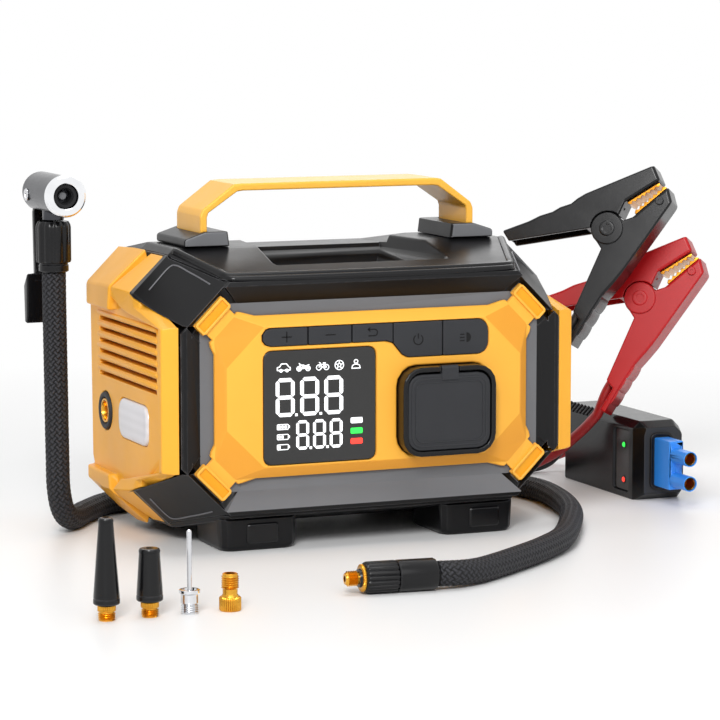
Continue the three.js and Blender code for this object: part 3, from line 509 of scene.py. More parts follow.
@dataclass(frozen=True)
class Board:
    """Green solder mask with copper tracks under it."""

    name: str
    mask: str = "1e6b3c"
    track: str = "2f8a52"

    def material(self) -> bpy.types.Material:
        """Make the finish.

        Returns:
            The material.
        """
        g = Graph(self.name)
        tracks = g.add("ShaderNodeTexBrick")
        g.link(g.place(turn=(math.pi / 2, 0, 0)), tracks.inputs["Vector"])
        sizes = (("Scale", 130.0), ("Mortar Size", 0.06), ("Brick Width", 0.7), ("Row Height", 0.35))
        for key, value in sizes:
            tracks.inputs[key].default_value = value
        tone = g.blend(tracks.outputs["Fac"], linear(self.mask), linear(self.track))
        g.set(Base_Color=tone, Roughness=g.patchy(3 * MM, 0.35, 0.5),
              Normal=g.bump(tracks.outputs["Fac"], 0.05 * MM, 0.6))
        return g.material


STRANDS = 12  # lanes of the air hose's weave each way round


class Look(Enum):
    """The pack's finishes; each value holds the finish and the record's slot."""

    YELLOW = (Plastic("yellow_shell_plastic", "fbb333", 0.38, rubbed="ffd98a", worn=0.35, mottle=0.03,
                      gloss=0.4), "yellow_plastic")
    PANEL = (Plastic("yellow_panel_plastic", "fdb842", 0.42, rubbed="ffdc92", worn=0.35, mottle=0.02,
                     gloss=0.35), "yellow_plastic")
    DEEP_YELLOW = (Plastic("yellow_tab_plastic", "f5a81c", 0.42, mottle=0.03, gloss=0.35), "yellow_plastic")
    # a deeper yellow painted as shade on the panel's slopes that look down or aside
    LOW_YELLOW = (Plastic("yellow_painted_shade_plastic", "eda233", 0.42, rubbed="fbc566", worn=0.3, mottle=0.02,
                          gloss=0.35), "yellow_plastic")
    HANDLE = (Plastic("yellow_handle_plastic", "fcbb40", 0.34, rubbed="ffe0a0", worn=0.3, mottle=0.03),
              "yellow_plastic")
    BLACK = (Plastic("black_shell_plastic", "0c0c0e", 0.32, rubbed="7a7a7e", worn=0.8, gloss=0.24),
             "black_plastic")
    SATIN = (Plastic("black_satin_plastic", "0d0d0f", 0.24, rubbed="5e5e62", worn=0.6, relief=0.006,
                     gloss=0.3), "black_plastic")
    # grey: the seat's own colour, also laid on the lower bar's upward faces as a painted highlight
    GREY = (Plastic("grey_seat_plastic", "707174", 0.4, rubbed="8c8d90", worn=0.3, gloss=0.3),
            "black_plastic")
    RUBBER = (Plastic("soft_grey_rubber", "343538", 0.55, grain=0.35, relief=0.02, rubbed="5a5b5f",
                      gloss=0.22), "grey_rubber")
    FOOT = (Plastic("foot_rubber", "161618", 0.62, grain=0.4, relief=0.03, rubbed="404043", gloss=0.25),
            "black_plastic")
    GLASS = (Glass("display_glass"), "display_glass")
    LENS = (Lens("lamp_lens_plastic"), "lens")
    BRAID = (Braid("woven_sleeve", STRANDS), "braid")
    CHROME = (Metal("chrome_plate", "dcdde0", 0.1, haze=0.04), "chrome")
    DARK_CHROME = (Metal("dark_chrome", "4a4b4f", 0.2, haze=0.05), "chrome")
    BRIGHT_CHROME = (Metal("bright_chrome", "f6f7f9", 0.08, haze=0.02, tarnish="e6e7ea"), "chrome")
    BRASS = (Metal("turned_brass", "e0a63c", 0.2, tarnish="a86f1c"), "brass")
    COPPER = (Metal("jaw_copper", "c8862c", 0.18, tarnish="5e370f"), "copper")
    # darker brass painted on the deep faces of the contact sleeves, as the shade inside them
    BORE = (Metal("shaded_bore_brass", "b06a22", 0.35, haze=0.1, tarnish="4a2a0a"), "brass")
    STEEL = (Metal("bare_steel", "9b9ca0", 0.3, haze=0.1), "steel")
    BOARD = (Board("circuit_board"), "board")
    CELLS = (Plastic("cell_wrap", "2f6fb8", 0.35, relief=0.004), "cells")
    RED = (Plastic("red_clamp_plastic", "b8141a", 0.34, rubbed="d8585c", worn=0.3, mottle=0.04, gloss=0.3),
           "red_plastic")
    RED_SHEATH = (Plastic("red_silicone", "b02025", 0.42, relief=0.008), "red_sheath")
    BLACK_SHEATH = (Plastic("black_silicone", "1d1d1f", 0.42, relief=0.008), "black_sheath")
    BLUE = (Plastic("blue_plug_plastic", "2f8df0", 0.35, rubbed="7dbcff", worn=0.3, mottle=0.04),
            "blue_plastic")
    WHITE = (Glow("white_marks", "f2f4f6", 0.75), "display_glass")
    GREEN = (Glow("green_light", "2bd84a", 1.2), "lens")
    RED_LIGHT = (Glow("red_light", "f03a2e", 1.2), "lens")
    # a lighter grey that paints the thin highlight along the corner outlines
    EDGE = (Plastic("highlight_line_plastic", "66666a", 0.34, relief=0.004, gloss=0.4), "black_plastic")
    MARK = (Plastic("key_marks", "0c0c0d", 0.4, relief=0.004, gloss=0.25), "grey_rubber")

    def material(self) -> bpy.types.Material:
        """The finish's material, made once."""
        name = self.value[0].name
        return bpy.data.materials.get(name) or self.value[0].material()


# ------------------------------------------------------------------ meshes
WELD = 2e-6  # points of a new mesh nearer than this are one, in metres


def spun(way: Point) -> Matrix:
    """The turn that brings the z axis onto a direction."""
    return Vector(UP).rotation_difference(Vector(way).normalized()).to_matrix()


class Shape:
    """Points in millimetres and faces, gathered before they become one mesh."""

    LAY: dict[str, Callable[[float, float, float], Point]] = {
        "x": lambda a, b, c: (c, a, b),
        "y": lambda a, b, c: (a, c, b),
        "z": lambda a, b, c: (a, b, c),
    }

    def __init__(self, to_row: Placer = at) -> None:
        """Start an empty shape.

        Args:
            to_row: what turns its points into metres in the row frame.
        """
        self.to_row = to_row
        self.points: list[Point] = []
        self.faces: list[tuple[int, ...]] = []

    def loft(self, rings: Sequence[Sequence[Point]], closed: bool = False) -> "Shape":
        """Join rings of equal count.

        Args:
            rings: rings of points, in order.
            closed: the last ring joins the first, as round a torus.

        Returns:
            The shape itself.
        """
        n, first = len(rings[0]), len(self.points)
        for ring in rings:
            self.points.extend(ring)
        count = len(rings)
        for r in range(count if closed else count - 1):
            a0, b0 = first + r * n, first + ((r + 1) % count) * n
            for i in range(n):
                j = (i + 1) % n
                self.faces.append((a0 + i, a0 + j, b0 + j, b0 + i))
        if not closed:
            self.faces.append(tuple(range(first + n - 1, first - 1, -1)))
            self.faces.append(tuple(range(first + (count - 1) * n, first + count * n)))
        return self

    def prism(self, outline: Sequence[Flat], low: float, high: float, axis: str = "y") -> "Shape":
        """Push an outline along an axis.

        Args:
            outline: its points as (y, z), (x, z) or (x, y).
            low: where it starts.
            high: where it ends.
            axis: the axis.

        Returns:
            The shape itself.
        """
        return self.loft([[self.LAY[axis](a, b, c) for a, b in outline] for c in (low, high)])

    def turn(self, profile: Sequence[Flat], foot: Point, way: Point = UP, sides: int = 48,
             closed: bool = False) -> "Shape":
        """Turn a profile of (radius, height) round a line.

        Args:
            profile: radius and height along the line, in order.
            foot: where the line starts.
            way: the line's direction.
            sides: faces round the line.
            closed: the profile closes on itself, as in a ring.

        Returns:
            The shape itself.
        """
        spin = spun(way)
        rings = []
        for r, h in profile:
            ring = []
            for i in range(sides):
                a = 2 * math.pi * i / sides
                p = spin @ Vector((max(r, 0.001) * math.cos(a), max(r, 0.001) * math.sin(a), h))
                ring.append(tuple(Vector(foot) + p))
            rings.append(ring)
        return self.loft(rings, closed)

    def ribbon(self, line: Sequence[Flat], width: float, low: float, high: float, closed: bool = False,
               axis: str = "y") -> "Shape":
        """Draw a line of some width and push it along an axis.

        Args:
            line: its points, as for a prism.
            width: of the line.
            low: where it starts on the axis.
            high: where it ends.
            closed: the line's end joins its start.
            axis: the axis.

        Returns:
            The shape itself.
        """
        lay = self.LAY[axis]
        pts = [Vector((*p, 0)) for p in line]
        n = len(pts)
        rings = []
        for i, p in enumerate(pts):
            ways = []
            if closed or i:
                ways.append((p - pts[(i - 1) % n]).normalized())
            if closed or i < n - 1:
                ways.append((pts[(i + 1) % n] - p).normalized())
            way = sum(ways, Vector()).normalized()
            side = Vector((-way.y, way.x, 0)) * (width / 2) / max(0.5, way.dot(ways[0]))
            a, b = p + side, p - side
            rings.append([lay(a.x, a.y, low), lay(b.x, b.y, low), lay(b.x, b.y, high), lay(a.x, a.y, high)])
        return self.loft(rings, closed)

    def object(self, name: str) -> bpy.types.Object:
        """Make the mesh, with its faces turned outwards.

        Args:
            name: of the mesh and its object.

        Returns:
            The object.
        """
        mesh = bpy.data.meshes.new(name)
        mesh.from_pydata([self.to_row(*p) for p in self.points], [], self.faces)
        body = bmesh.new()
        body.from_mesh(mesh)
        bmesh.ops.remove_doubles(body, verts=body.verts, dist=WELD)
        bmesh.ops.recalc_face_normals(body, faces=body.faces)
        body.to_mesh(mesh)
        body.free()
        made = bpy.data.objects.new(name, mesh)
        bpy.context.scene.collection.objects.link(made)
        return made


def arc(r: float, start: float, end: float, steps: int, middle: Flat = (0, 0)) -> list[Flat]:
    """Points on a circle between two angles in degrees."""
    turns = [math.radians(start + (end - start) * i / steps) for i in range(steps + 1)]
    return [(middle[0] + r * math.cos(a), middle[1] + r * math.sin(a)) for a in turns]


def rounded(cx: float, cy: float, w: float, h: float, r: float, steps: int = 6) -> list[Flat]:
    """Draw a rectangle with round corners.

    Args:
        cx: its middle across.
        cy: its middle up.
        w: its width.
        h: its height.
        r: radius of its corners.
        steps: stretches in a corner.

    Returns:
        Its points, anticlockwise.
    """
    points: list[Flat] = []
    for sx, sy, start in ((1, 1, 0), (-1, 1, 90), (-1, -1, 180), (1, -1, 270)):
        points += arc(r, start, start + 90, steps, (cx + sx * (w / 2 - r), cy + sy * (h / 2 - r)))
    return points


def box_outline(low: Flat, high: Flat) -> list[Flat]:
    """The corners of an upright rectangle, anticlockwise from its lower left one."""
    return [low, (high[0], low[1]), high, (low[0], high[1])]


def plain(made: bpy.types.Object) -> bpy.types.Object:
    """Turn an object and its modifiers into one plain mesh.

    Args:
        made: the object.

    Returns:
        The same object, without modifiers.
    """
    graph = bpy.context.evaluated_depsgraph_get()
    graph.update()
    mesh = bpy.data.meshes.new_from_object(made.evaluated_get(graph), depsgraph=graph)
    old = made.data
    made.modifiers.clear()
    made.data = mesh
    bpy.data.meshes.remove(old)
    return made


FOLDED = -0.99  # two faces whose normals' product is below this lie back to back


def unfold(made: bpy.types.Object) -> None:
    """Turn over the slivers of flat faces that a rounding has folded back.

    Args:
        made: the rounded object.
    """
    body = bmesh.new()
    body.from_mesh(made.data)
    body.normal_update()
    folded = set()
    for edge in body.edges:
        faces = edge.link_faces
        if len(faces) == 2 and faces[0].normal.dot(faces[1].normal) < FOLDED:
            folded.add(min(faces, key=lambda face: face.calc_area()))
    for face in folded:
        face.normal_flip()
    body.to_mesh(made.data)
    body.free()


def soften(made: bpy.types.Object, width: float, segments: int = 3, angle: float = 28,
           picked: bool = False) -> bpy.types.Object:
    """Round an object's edges and even out its shading.

    Args:
        made: the object.
        width: reach of the rounding in millimetres.
        segments: steps of the rounding.
        angle: edges sharper than this are rounded, in degrees.
        picked: only the edges with a bevel weight are rounded.

    Returns:
        The same object as a plain mesh.
    """
    for face in made.data.polygons:
        face.use_smooth = True
    bevel = made.modifiers.new("round", "BEVEL")
    bevel.width = width * MM
    bevel.segments = segments
    bevel.limit_method = "WEIGHT" if picked else "ANGLE"
    bevel.angle_limit = math.radians(angle)
    bevel.miter_outer = "MITER_SHARP" if picked else "MITER_ARC"
    bevel.use_clamp_overlap = not picked
    plain(made)
    if picked:
        unfold(made)
    even = made.modifiers.new("even", "WEIGHTED_NORMAL")
    even.keep_sharp = True
    return plain(made)


def crisp(made: bpy.types.Object, angle: float = 32) -> bpy.types.Object:
    """Shade an object smooth, with its sharp edges kept.

    Args:
        made: the object.
        angle: edges over this stay sharp, in degrees.

    Returns:
        The same object.
    """
    body = bmesh.new()
    body.from_mesh(made.data)
    for edge in body.edges:
        edge.smooth = len(edge.link_faces) == 2 and edge.calc_face_angle(0) < math.radians(angle)
    for face in body.faces:
        face.smooth = True
    body.to_mesh(made.data)
    body.free()
    return made


ROOM = 0.3  # the share of the shortest edge nearby that a rounding may take
LEAST = 0.04  # a rounding that is left with less than this share is dropped
MERGE = 5e-6  # points nearer than this are one, in metres
SLIVER = 1e-5  # faces narrower than this are dissolved, in metres
LEVEL = 0.6  # faces that meet at less than this are one, in degrees


def moulded(node: str, name: str, width: float, segments: int = 3, angle: float = 18,
            shift: Callable[[Vector], Vector] | None = None) -> bpy.types.Object:
    """A node's shape as it comes out of a mould, with its sharp edges rounded.

    The rounding of an edge is drawn in where the edges that it meets are short.

    Args:
        node: the CAD node that is copied.
        name: the new object's name.
        width: reach of the rounding in millimetres.
        segments: steps of the rounding.
        angle: edges sharper than this are rounded, in degrees.
        shift: how far a point of the pack's frame moves before the rounding, in millimetres.

    Returns:
        The new object.
    """
    mesh = bpy.data.objects[node].data.copy()
    mesh.materials.clear()
    body = bmesh.new()
    body.from_mesh(mesh)
    bmesh.ops.remove_doubles(body, verts=body.verts, dist=MERGE)
    bmesh.ops.dissolve_limit(body, angle_limit=math.radians(LEVEL), verts=body.verts, edges=body.edges)
    bmesh.ops.triangulate(body, faces=body.faces)
    bmesh.ops.dissolve_degenerate(body, edges=body.edges, dist=SLIVER)
    if shift:
        for vertex in body.verts:
            vertex.co += shift((vertex.co - ZERO) / MM) * MM
    bmesh.ops.recalc_face_normals(body, faces=body.faces)
    weight = body.edges.layers.float.new("bevel_weight_edge")
    for edge in body.edges:
        sharp = len(edge.link_faces) == 2 and edge.calc_face_angle(0) > math.radians(angle)
        hollow = sharp and edge.calc_face_angle_signed(0) < 0
        room = min(e.calc_length() for v in edge.verts for e in v.link_edges)
        share = min(1.0, ROOM * room / (width * MM))
        rounded_off = sharp and share > LEAST and not hollow
        edge[weight] = share if rounded_off else 0.0
        edge.smooth = not sharp or rounded_off
    for face in body.faces:
        face.smooth = True
    body.to_mesh(mesh)
    body.free()
    made = bpy.data.objects.new(name, mesh)
    bpy.context.scene.collection.objects.link(made)
    return soften(made, width, segments, picked=True)


def dress(made: bpy.types.Object, look: Look, body: str = "pack",
          stands_for: Iterable[str] = ()) -> bpy.types.Object:
    """Give a piece its finish and its body, and hide the nodes that it stands for.

    Args:
        made: the piece.
        look: its finish.
        body: the CAD body that it rides on.
        stands_for: the CAD nodes that it replaces.

    Returns:
        The piece.
    """
    made.data.materials.clear()
    made.data.materials.append(look.material())
    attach(made, body)
    nodes = list(stands_for)
    if nodes:
        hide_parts(*nodes)
    log.info("%s on %s, %d faces", made.name, body, len(made.data.polygons))
    return made


def second_finish(made: bpy.types.Object, look: Look, chosen: Callable[[Vector, Vector], bool]) -> None:
    """Give some faces of a piece a finish of their own.

    Args:
        made: the piece.
        look: the second finish.
        chosen: says whether a face takes it, from its middle in the pack's millimetres and its normal.
    """
    made.data.materials.append(look.material())
    for face in made.data.polygons:
        if chosen((face.center - ZERO) / MM, face.normal):
            face.material_index = 1


def ridges(low: float, high: float, count: int, root: float, crest: float) -> list[Flat]:
    """Draw a thread: sharp ridges between two heights.

    Args:
        low: where it starts.
        high: where it ends.
        count: how many ridges.
        root: radius between them.
        crest: radius on them.

    Returns:
        The profile as (radius, height).
    """
    pitch = (high - low) / count
    points: list[Flat] = []
    for i in range(count):
        points += [(root, low + pitch * i), (crest, low + pitch * (i + 0.5))]
    return [*points, (root, high)]


FLUTE_POWER = 6  # the higher, the narrower a flute is
FLUTE_ANGLE = 50.0  # edges over this stay sharp on a fluted piece, in degrees


def fluted(name: str, profile: Sequence[Flat], foot: Point, way: Point, flutes: int, depth: float,
           fine: int = 8) -> bpy.types.Object:
    """Turn a profile whose wide stretches are drawn in by rounded flutes.

    Args:
        name: the object's name.
        profile: radius and height along the line, in order; its ends are closed by flat faces.
        foot: where the line starts.
        way: the line's direction.
        flutes: how many flutes go round it.
        depth: depth of a flute in millimetres.
        fine: points in each flute.

    Returns:
        The new object.
    """
    spin = spun(way)
    widest = max(r for r, _ in profile)
    rings = []
    for r, h in profile:
        ring = []
        deep = depth if r > widest - 2 * depth else 0
        for i in range(flutes * fine):
            a = 2 * math.pi * i / (flutes * fine)
            out = r - deep * abs(math.cos(flutes * a / 2)) ** FLUTE_POWER
            ring.append(tuple(Vector(foot) + spin @ Vector((out * math.cos(a), out * math.sin(a), h))))
        rings.append(ring)
    return crisp(Shape().loft(rings).object(name), FLUTE_ANGLE)


# ------------------------------------------------------------------ what repeats
class Copies:
    """A Geometry Nodes tree that repeats a small shape along a line."""

    NAME = "copies_on_a_line"

    @classmethod
    def tree(cls) -> bpy.types.NodeTree:
        """Build or fetch the tree.

        Returns:
            A node group with the inputs Count, Step and Finish.
        """
        found = bpy.data.node_groups.get(cls.NAME)
        if found:
            return found
        tree = bpy.data.node_groups.new(cls.NAME, "GeometryNodeTree")
        sockets = (("Geometry", "Geometry"), ("Count", "Int"), ("Step", "Vector"), ("Finish", "Material"))
        for name, kind in sockets:
            tree.interface.new_socket(name, in_out="INPUT", socket_type="NodeSocket" + kind)
        tree.interface.new_socket("Geometry", in_out="OUTPUT", socket_type="NodeSocketGeometry")
        new, link = tree.nodes.new, tree.links.new
        given, result = new("NodeGroupInput"), new("NodeGroupOutput")
        points = new("GeometryNodeMeshLine")
        spread = new("GeometryNodeInstanceOnPoints")
        whole = new("GeometryNodeRealizeInstances")
        finish = new("GeometryNodeSetMaterial")
        link(given.outputs["Count"], points.inputs["Count"])
        link(given.outputs["Step"], points.inputs["Offset"])
        link(points.outputs[0], spread.inputs["Points"])
        link(given.outputs["Geometry"], spread.inputs["Instance"])
        link(spread.outputs[0], whole.inputs[0])
        link(whole.outputs[0], finish.inputs["Geometry"])
        link(given.outputs["Finish"], finish.inputs["Material"])
        link(finish.outputs[0], result.inputs[0])
        return tree

    @classmethod
    def make(cls, one: bpy.types.Object, count: int, look: Look, place: Matrix,
             step: Point) -> bpy.types.Object:
        """Repeat a small object and leave one plain mesh in its place.

        Args:
            one: the object that is repeated, in metres about the origin.
            count: how many copies.
            look: their finish.
            place: where the line's own origin and axes go in the row frame.
            step: from one copy to the next, in metres.

        Returns:
            The object with all the copies.
        """
        tree = cls.tree()
        copies = one.modifiers.new("copies", "NODES")
        copies.node_group = tree
        names = {item.name: item.identifier for item in tree.interface.items_tree if item.in_out == "INPUT"}
        for name, value in (("Count", count), ("Step", step), ("Finish", look.material())):
            copies[names[name]] = value
        plain(one)
        one.data.transform(place)
        return crisp(one)


def frame_along(foot: Point, way: Point) -> Matrix:
    """A placement whose z axis runs along way from foot, in the row frame."""
    return Matrix.Translation(at(*foot)) @ spun(way).to_4x4()


# ------------------------------------------------------------------ sub-assemblies
@dataclass
class Assembly:
    """A sub-assembly, which dresses its pieces and remembers them."""

    pieces: list[bpy.types.Object] = field(default_factory=list, init=False)

    def add(self, made: bpy.types.Object, look: Look, body: str = "pack",
            nodes: Iterable[str] = ()) -> bpy.types.Object:
        """Dress a piece and remember it.

        Args:
            made: the piece.
            look: its finish.
            body: the CAD body that it rides on.
            nodes: the CAD nodes that it replaces.

        Returns:
            The piece.
        """
        self.pieces.append(dress(made, look, body, nodes))
        return made

    def mould(self, node: str, name: str, look: Look, width: float, segments: int = 3, body: str = "pack",
              **more: object) -> bpy.types.Object:
        """Round a node's shape and put it in the node's place.

        Args:
            node: the CAD node.
            name: the piece's name.
            look: its finish.
            width: reach of the rounding in millimetres.
            segments: steps of the rounding.
            body: the CAD body that it rides on.
            **more: what else moulded() takes.

        Returns:
            The piece.
        """
        return self.add(moulded(node, name, width, segments, **more), look, body, [node])

    def turned(self, name: str, profile: Sequence[Flat], foot: Point, look: Look, *, body: str = "pack",
               nodes: Iterable[str] = (), way: Point = UP, sides: int = 48, closed: bool = False,
               angle: float = 32, to_row: Placer = at) -> bpy.types.Object:
        """Turn a piece round a line.

        Args:
            name: the piece's name.
            profile: radius and height along the line, in order.
            foot: where the line starts.
            look: the piece's finish.
            body: the CAD body that it rides on.
            nodes: the CAD nodes that it replaces.
            way: the line's direction.
            sides: faces round the line.
            closed: the profile closes on itself, as in a ring.
            angle: edges over this stay sharp, in degrees.
            to_row: what turns the points into metres in the row frame.

        Returns:
            The piece.
        """
        shape = Shape(to_row).turn(profile, foot, way, sides, closed)
        return self.add(crisp(shape.object(name), angle), look, body, nodes)


# ------------------------------------------------------------------ cords
LEAST_GAP = 1e-4  # keeps a curve's steps above zero


def smooth_route(points: Sequence[Point], step: float) -> list[Vector]:
    """Lay a centripetal curve through chosen points.

    Args:
        points: the chosen points in millimetres.
        step: about the spacing of the result, in millimetres.

    Returns:
        Points along the curve, in millimetres.
    """
    p = [Vector(q) for q in points]
    p = [2 * p[0] - p[1], *p, 2 * p[-1] - p[-2]]
    fine: list[Vector] = []
    for k in range(1, len(p) - 2):
        a, b, c, d = p[k - 1:k + 3]
        t0, t1, t2 = (max(LEAST_GAP, (v - u).length ** 0.5) for u, v in ((a, b), (b, c), (c, d)))
        m1 = ((b - a) / t0 - (c - a) / (t0 + t1) + (c - b) / t1) * t1
        m2 = ((c - b) / t1 - (d - b) / (t1 + t2) + (d - c) / t2) * t1
        steps = max(2, round((c - b).length / step))
        for i in range(steps):
            s = i / steps
            fine.append(b * (2 * s ** 3 - 3 * s ** 2 + 1) + m1 * (s ** 3 - 2 * s ** 2 + s)
                        + c * (3 * s ** 2 - 2 * s ** 3) + m2 * (s ** 3 - s ** 2))
    return [*fine, p[-2]]


def tube(name: str, line: Sequence[Vector], radius: Callable[[float, float], float], sides: int,
         to_row: Placer = at) -> bpy.types.Object:
    """Sweep a round tube with closed ends and a UV map that follows it.

    Args:
        name: the object's name.
        line: its middle line, in millimetres.
        radius: from the length along it and the angle round it to the radius there.
        sides: points round it.
        to_row: what places the line's points in the row frame.

    Returns:
        The tube; U runs once round it, and V runs by one for each circumference.
    """
    ways = [(line[min(i + 1, len(line) - 1)] - line[max(i - 1, 0)]).normalized() for i in range(len(line))]
    across = ways[0].orthogonal().normalized()
    shape = Shape(to_row)
    rings, lengths, run = [], [], 0.0
    for i, (p, way) in enumerate(zip(line, ways)):
        if i:
            across = (ways[i - 1].rotation_difference(way) @ across).normalized()
            run += (p - line[i - 1]).length
        up = way.cross(across)
        lengths.append(run)
        ring = []
        for k in range(sides):
            a = 2 * math.pi * k / sides
            r = radius(run, a)
            ring.append(tuple(p + (across * math.cos(a) + up * math.sin(a)) * r))
        rings.append(ring)
    shape.loft(rings)
    made = shape.object(name)
    mesh = made.data
    uv = mesh.uv_layers.new(name="UVMap").data
    girth = 2 * math.pi * radius(0.0, 0.0)
    for face in mesh.polygons:
        face.use_smooth = len(face.vertices) == 4
        spots = [(v % sides, v // sides) for v in face.vertices]
        wraps = {k for k, _ in spots} == {0, sides - 1}
        for loop, (k, row) in zip(face.loop_indices, spots):
            u = 1.0 if wraps and k == 0 else k / sides
            uv[loop].uv = (u, lengths[row] / girth if row < len(lengths) else 0.0)
    return made


# ------------------------------------------------------------------ stage
@dataclass(frozen=True)
class Lamp:
    """A soft round lamp that points at the pack."""

    name: str
    place: Point
    size: float
    watts: float


@dataclass
class Studio:
    """The camera at the photograph's angle, soft light and a pale floor.

    The place, the turns, the lens and the reach are the camera's. The floor's sizes are metres.
    """

    place: Point = (-608.295, -1418.571, 209.971)
    yaw: float = 22.94
    pitch: float = 7.18
    lens: float = 156.3
    reach: float = 20.0
    aim: Point = (0, 60, 0)
    lamps: tuple[Lamp, ...] = (
        Lamp("key", (-750, -1250, 950), 0.6, 19.0), Lamp("fill", (100, -1500, 1000), 1.2, 5.0),
        Lamp("top", (0, 0, 1300), 0.8, 5.0), Lamp("back", (600, 1300, 900), 1.0, 4.0))
    ambient: float = 0.36
    floor_half: float = 3.0
    floor_tones: Flat = (0.9, 0.92)
    near: float = 0.32
    far: float = 0.75

    def build(self) -> None:
        """Make the camera, the lamps, the world and the floor."""
        self.camera()
        for lamp in self.lamps:
            self.hang(lamp)
        self.world()
        self.floor()
        bpy.context.scene.view_settings.view_transform = "Standard"

    def camera(self) -> None:
        """Set the camera where the photograph was taken."""
        data = bpy.data.cameras.new("camera")
        data.lens = self.lens
        data.clip_end = self.reach
        holder = bpy.data.objects.new("camera", data)
        holder.location = at(*self.place)
        holder.rotation_euler = (math.radians(90 - self.pitch), 0, math.radians(-self.yaw))
        bpy.context.scene.collection.objects.link(holder)
        bpy.context.scene.camera = holder

    def hang(self, lamp: Lamp) -> None:
        """Hang one lamp.

        Args:
            lamp: the lamp.
        """
        data = bpy.data.lights.new(lamp.name, "AREA")
        data.shape = "DISK"
        data.size = lamp.size
        data.energy = lamp.watts
        holder = bpy.data.objects.new(lamp.name, data)
        holder.location = at(*lamp.place)
        holder.rotation_euler = (at(*self.aim) - holder.location).to_track_quat("-Z", "Y").to_euler()
        bpy.context.scene.collection.objects.link(holder)

    @staticmethod
    def shown(tree: bpy.types.NodeTree) -> bpy.types.NodeSocket:
        """Find the rays that show the backdrop: the camera's, mirrored and refracted ones.

        Args:
            tree: the nodes of the world or of a material.

        Returns:
            One on those rays and zero on the others.
        """
        path = tree.nodes.new("ShaderNodeLightPath")
        total = path.outputs["Is Camera Ray"]
        for key in ("Is Glossy Ray", "Is Transmission Ray"):
            plus = tree.nodes.new("ShaderNodeMath")
            plus.operation = "MAXIMUM"
            tree.links.new(total, plus.inputs[0])
            tree.links.new(path.outputs[key], plus.inputs[1])
            total = plus.outputs[0]
        return total

    def world(self) -> None:
        """Light the scene evenly, with a white backdrop behind it."""
        world = bpy.data.worlds.new("studio")
        bpy.context.scene.world = world
        world.use_nodes = True
        tree = world.node_tree
        tree.nodes.clear()
        new, link = tree.nodes.new, tree.links.new
        soft, white = new("ShaderNodeBackground"), new("ShaderNodeBackground")
        pick, out = new("ShaderNodeMixShader"), new("ShaderNodeOutputWorld")
        for light, strength in ((soft, self.ambient), (white, 1.0)):
            light.inputs["Strength"].default_value = strength
            light.inputs["Color"].default_value = (1, 1, 1, 1)
        link(self.shown(tree), pick.inputs[0])
        link(soft.outputs[0], pick.inputs[1])
        link(white.outputs[0], pick.inputs[2])
        link(pick.outputs[0], out.inputs[0])

    def floor(self) -> None:
        """Lay a pale floor that keeps the pack's shadow and fades to white further out."""
        half = self.floor_half
        mesh = bpy.data.meshes.new("floor")
        corners = [(-half, -half, 0), (half, -half, 0), (half, half, 0), (-half, half, 0)]
        mesh.from_pydata(corners, [], [(0, 1, 2, 3)])
        g = Graph("pale_floor")
        tone = g.blend(g.patchy(0.4, 0, 1), *((shade, shade, shade, 1) for shade in self.floor_tones))
        g.set(Base_Color=tone, Roughness=0.4, Specular_IOR_Level=0.25)
        away = g.add("ShaderNodeVectorMath", operation="LENGTH")
        g.link(g.coords.outputs["Object"], away.inputs[0])
        fade = g.span(away.outputs["Value"], (self.near, self.far), (0.0, 1.0))
        fade = g.math("MULTIPLY", fade, self.shown(g.tree))
        white, pick = g.add("ShaderNodeEmission"), g.add("ShaderNodeMixShader")
        g.link(fade, pick.inputs[0])
        g.link(g.shader.outputs[0], pick.inputs[1])
        g.link(white.outputs[0], pick.inputs[2])
        g.link(pick.outputs[0], g.out.inputs[0])
        mesh.materials.append(g.material)
        made = bpy.data.objects.new("floor", mesh)
        bpy.context.scene.collection.objects.link(made)


# ------------------------------------------------------------------ air hose
HOSE_REST = -71.0
HOSE_ROUTE: list[Point] = [
    (-141.2, 79, 57.7), (-141.2, 78.8, 40), (-141.1, 78, 0), (-141, 77.4, -34), (-140.2, 78.4, -53),
    (-136.5, 83, -64.5), (-129.5, 92, -70.2), (-116, 111, HOSE_REST), (-95.3, 132.1, HOSE_REST),
    (-60, 141.5, HOSE_REST), (0, 145, HOSE_REST), (60, 142.5, HOSE_REST), (98, 129.5, HOSE_REST),
    (122, 109, HOSE_REST), (131.2, 83, HOSE_REST), (127.5, 48, HOSE_REST), (116.5, 13, HOSE_REST),
    (101, -17, HOSE_REST), (77.1, -54.4, HOSE_REST), (55, -76.5, HOSE_REST), (34, -93, HOSE_REST),
    (17, -105.2, HOSE_REST), (4, -113.6, -70.8), (-5, -118, -70.2), (-12, -120, -69.7),
    (-19.6, -119.5, -69.5),
]


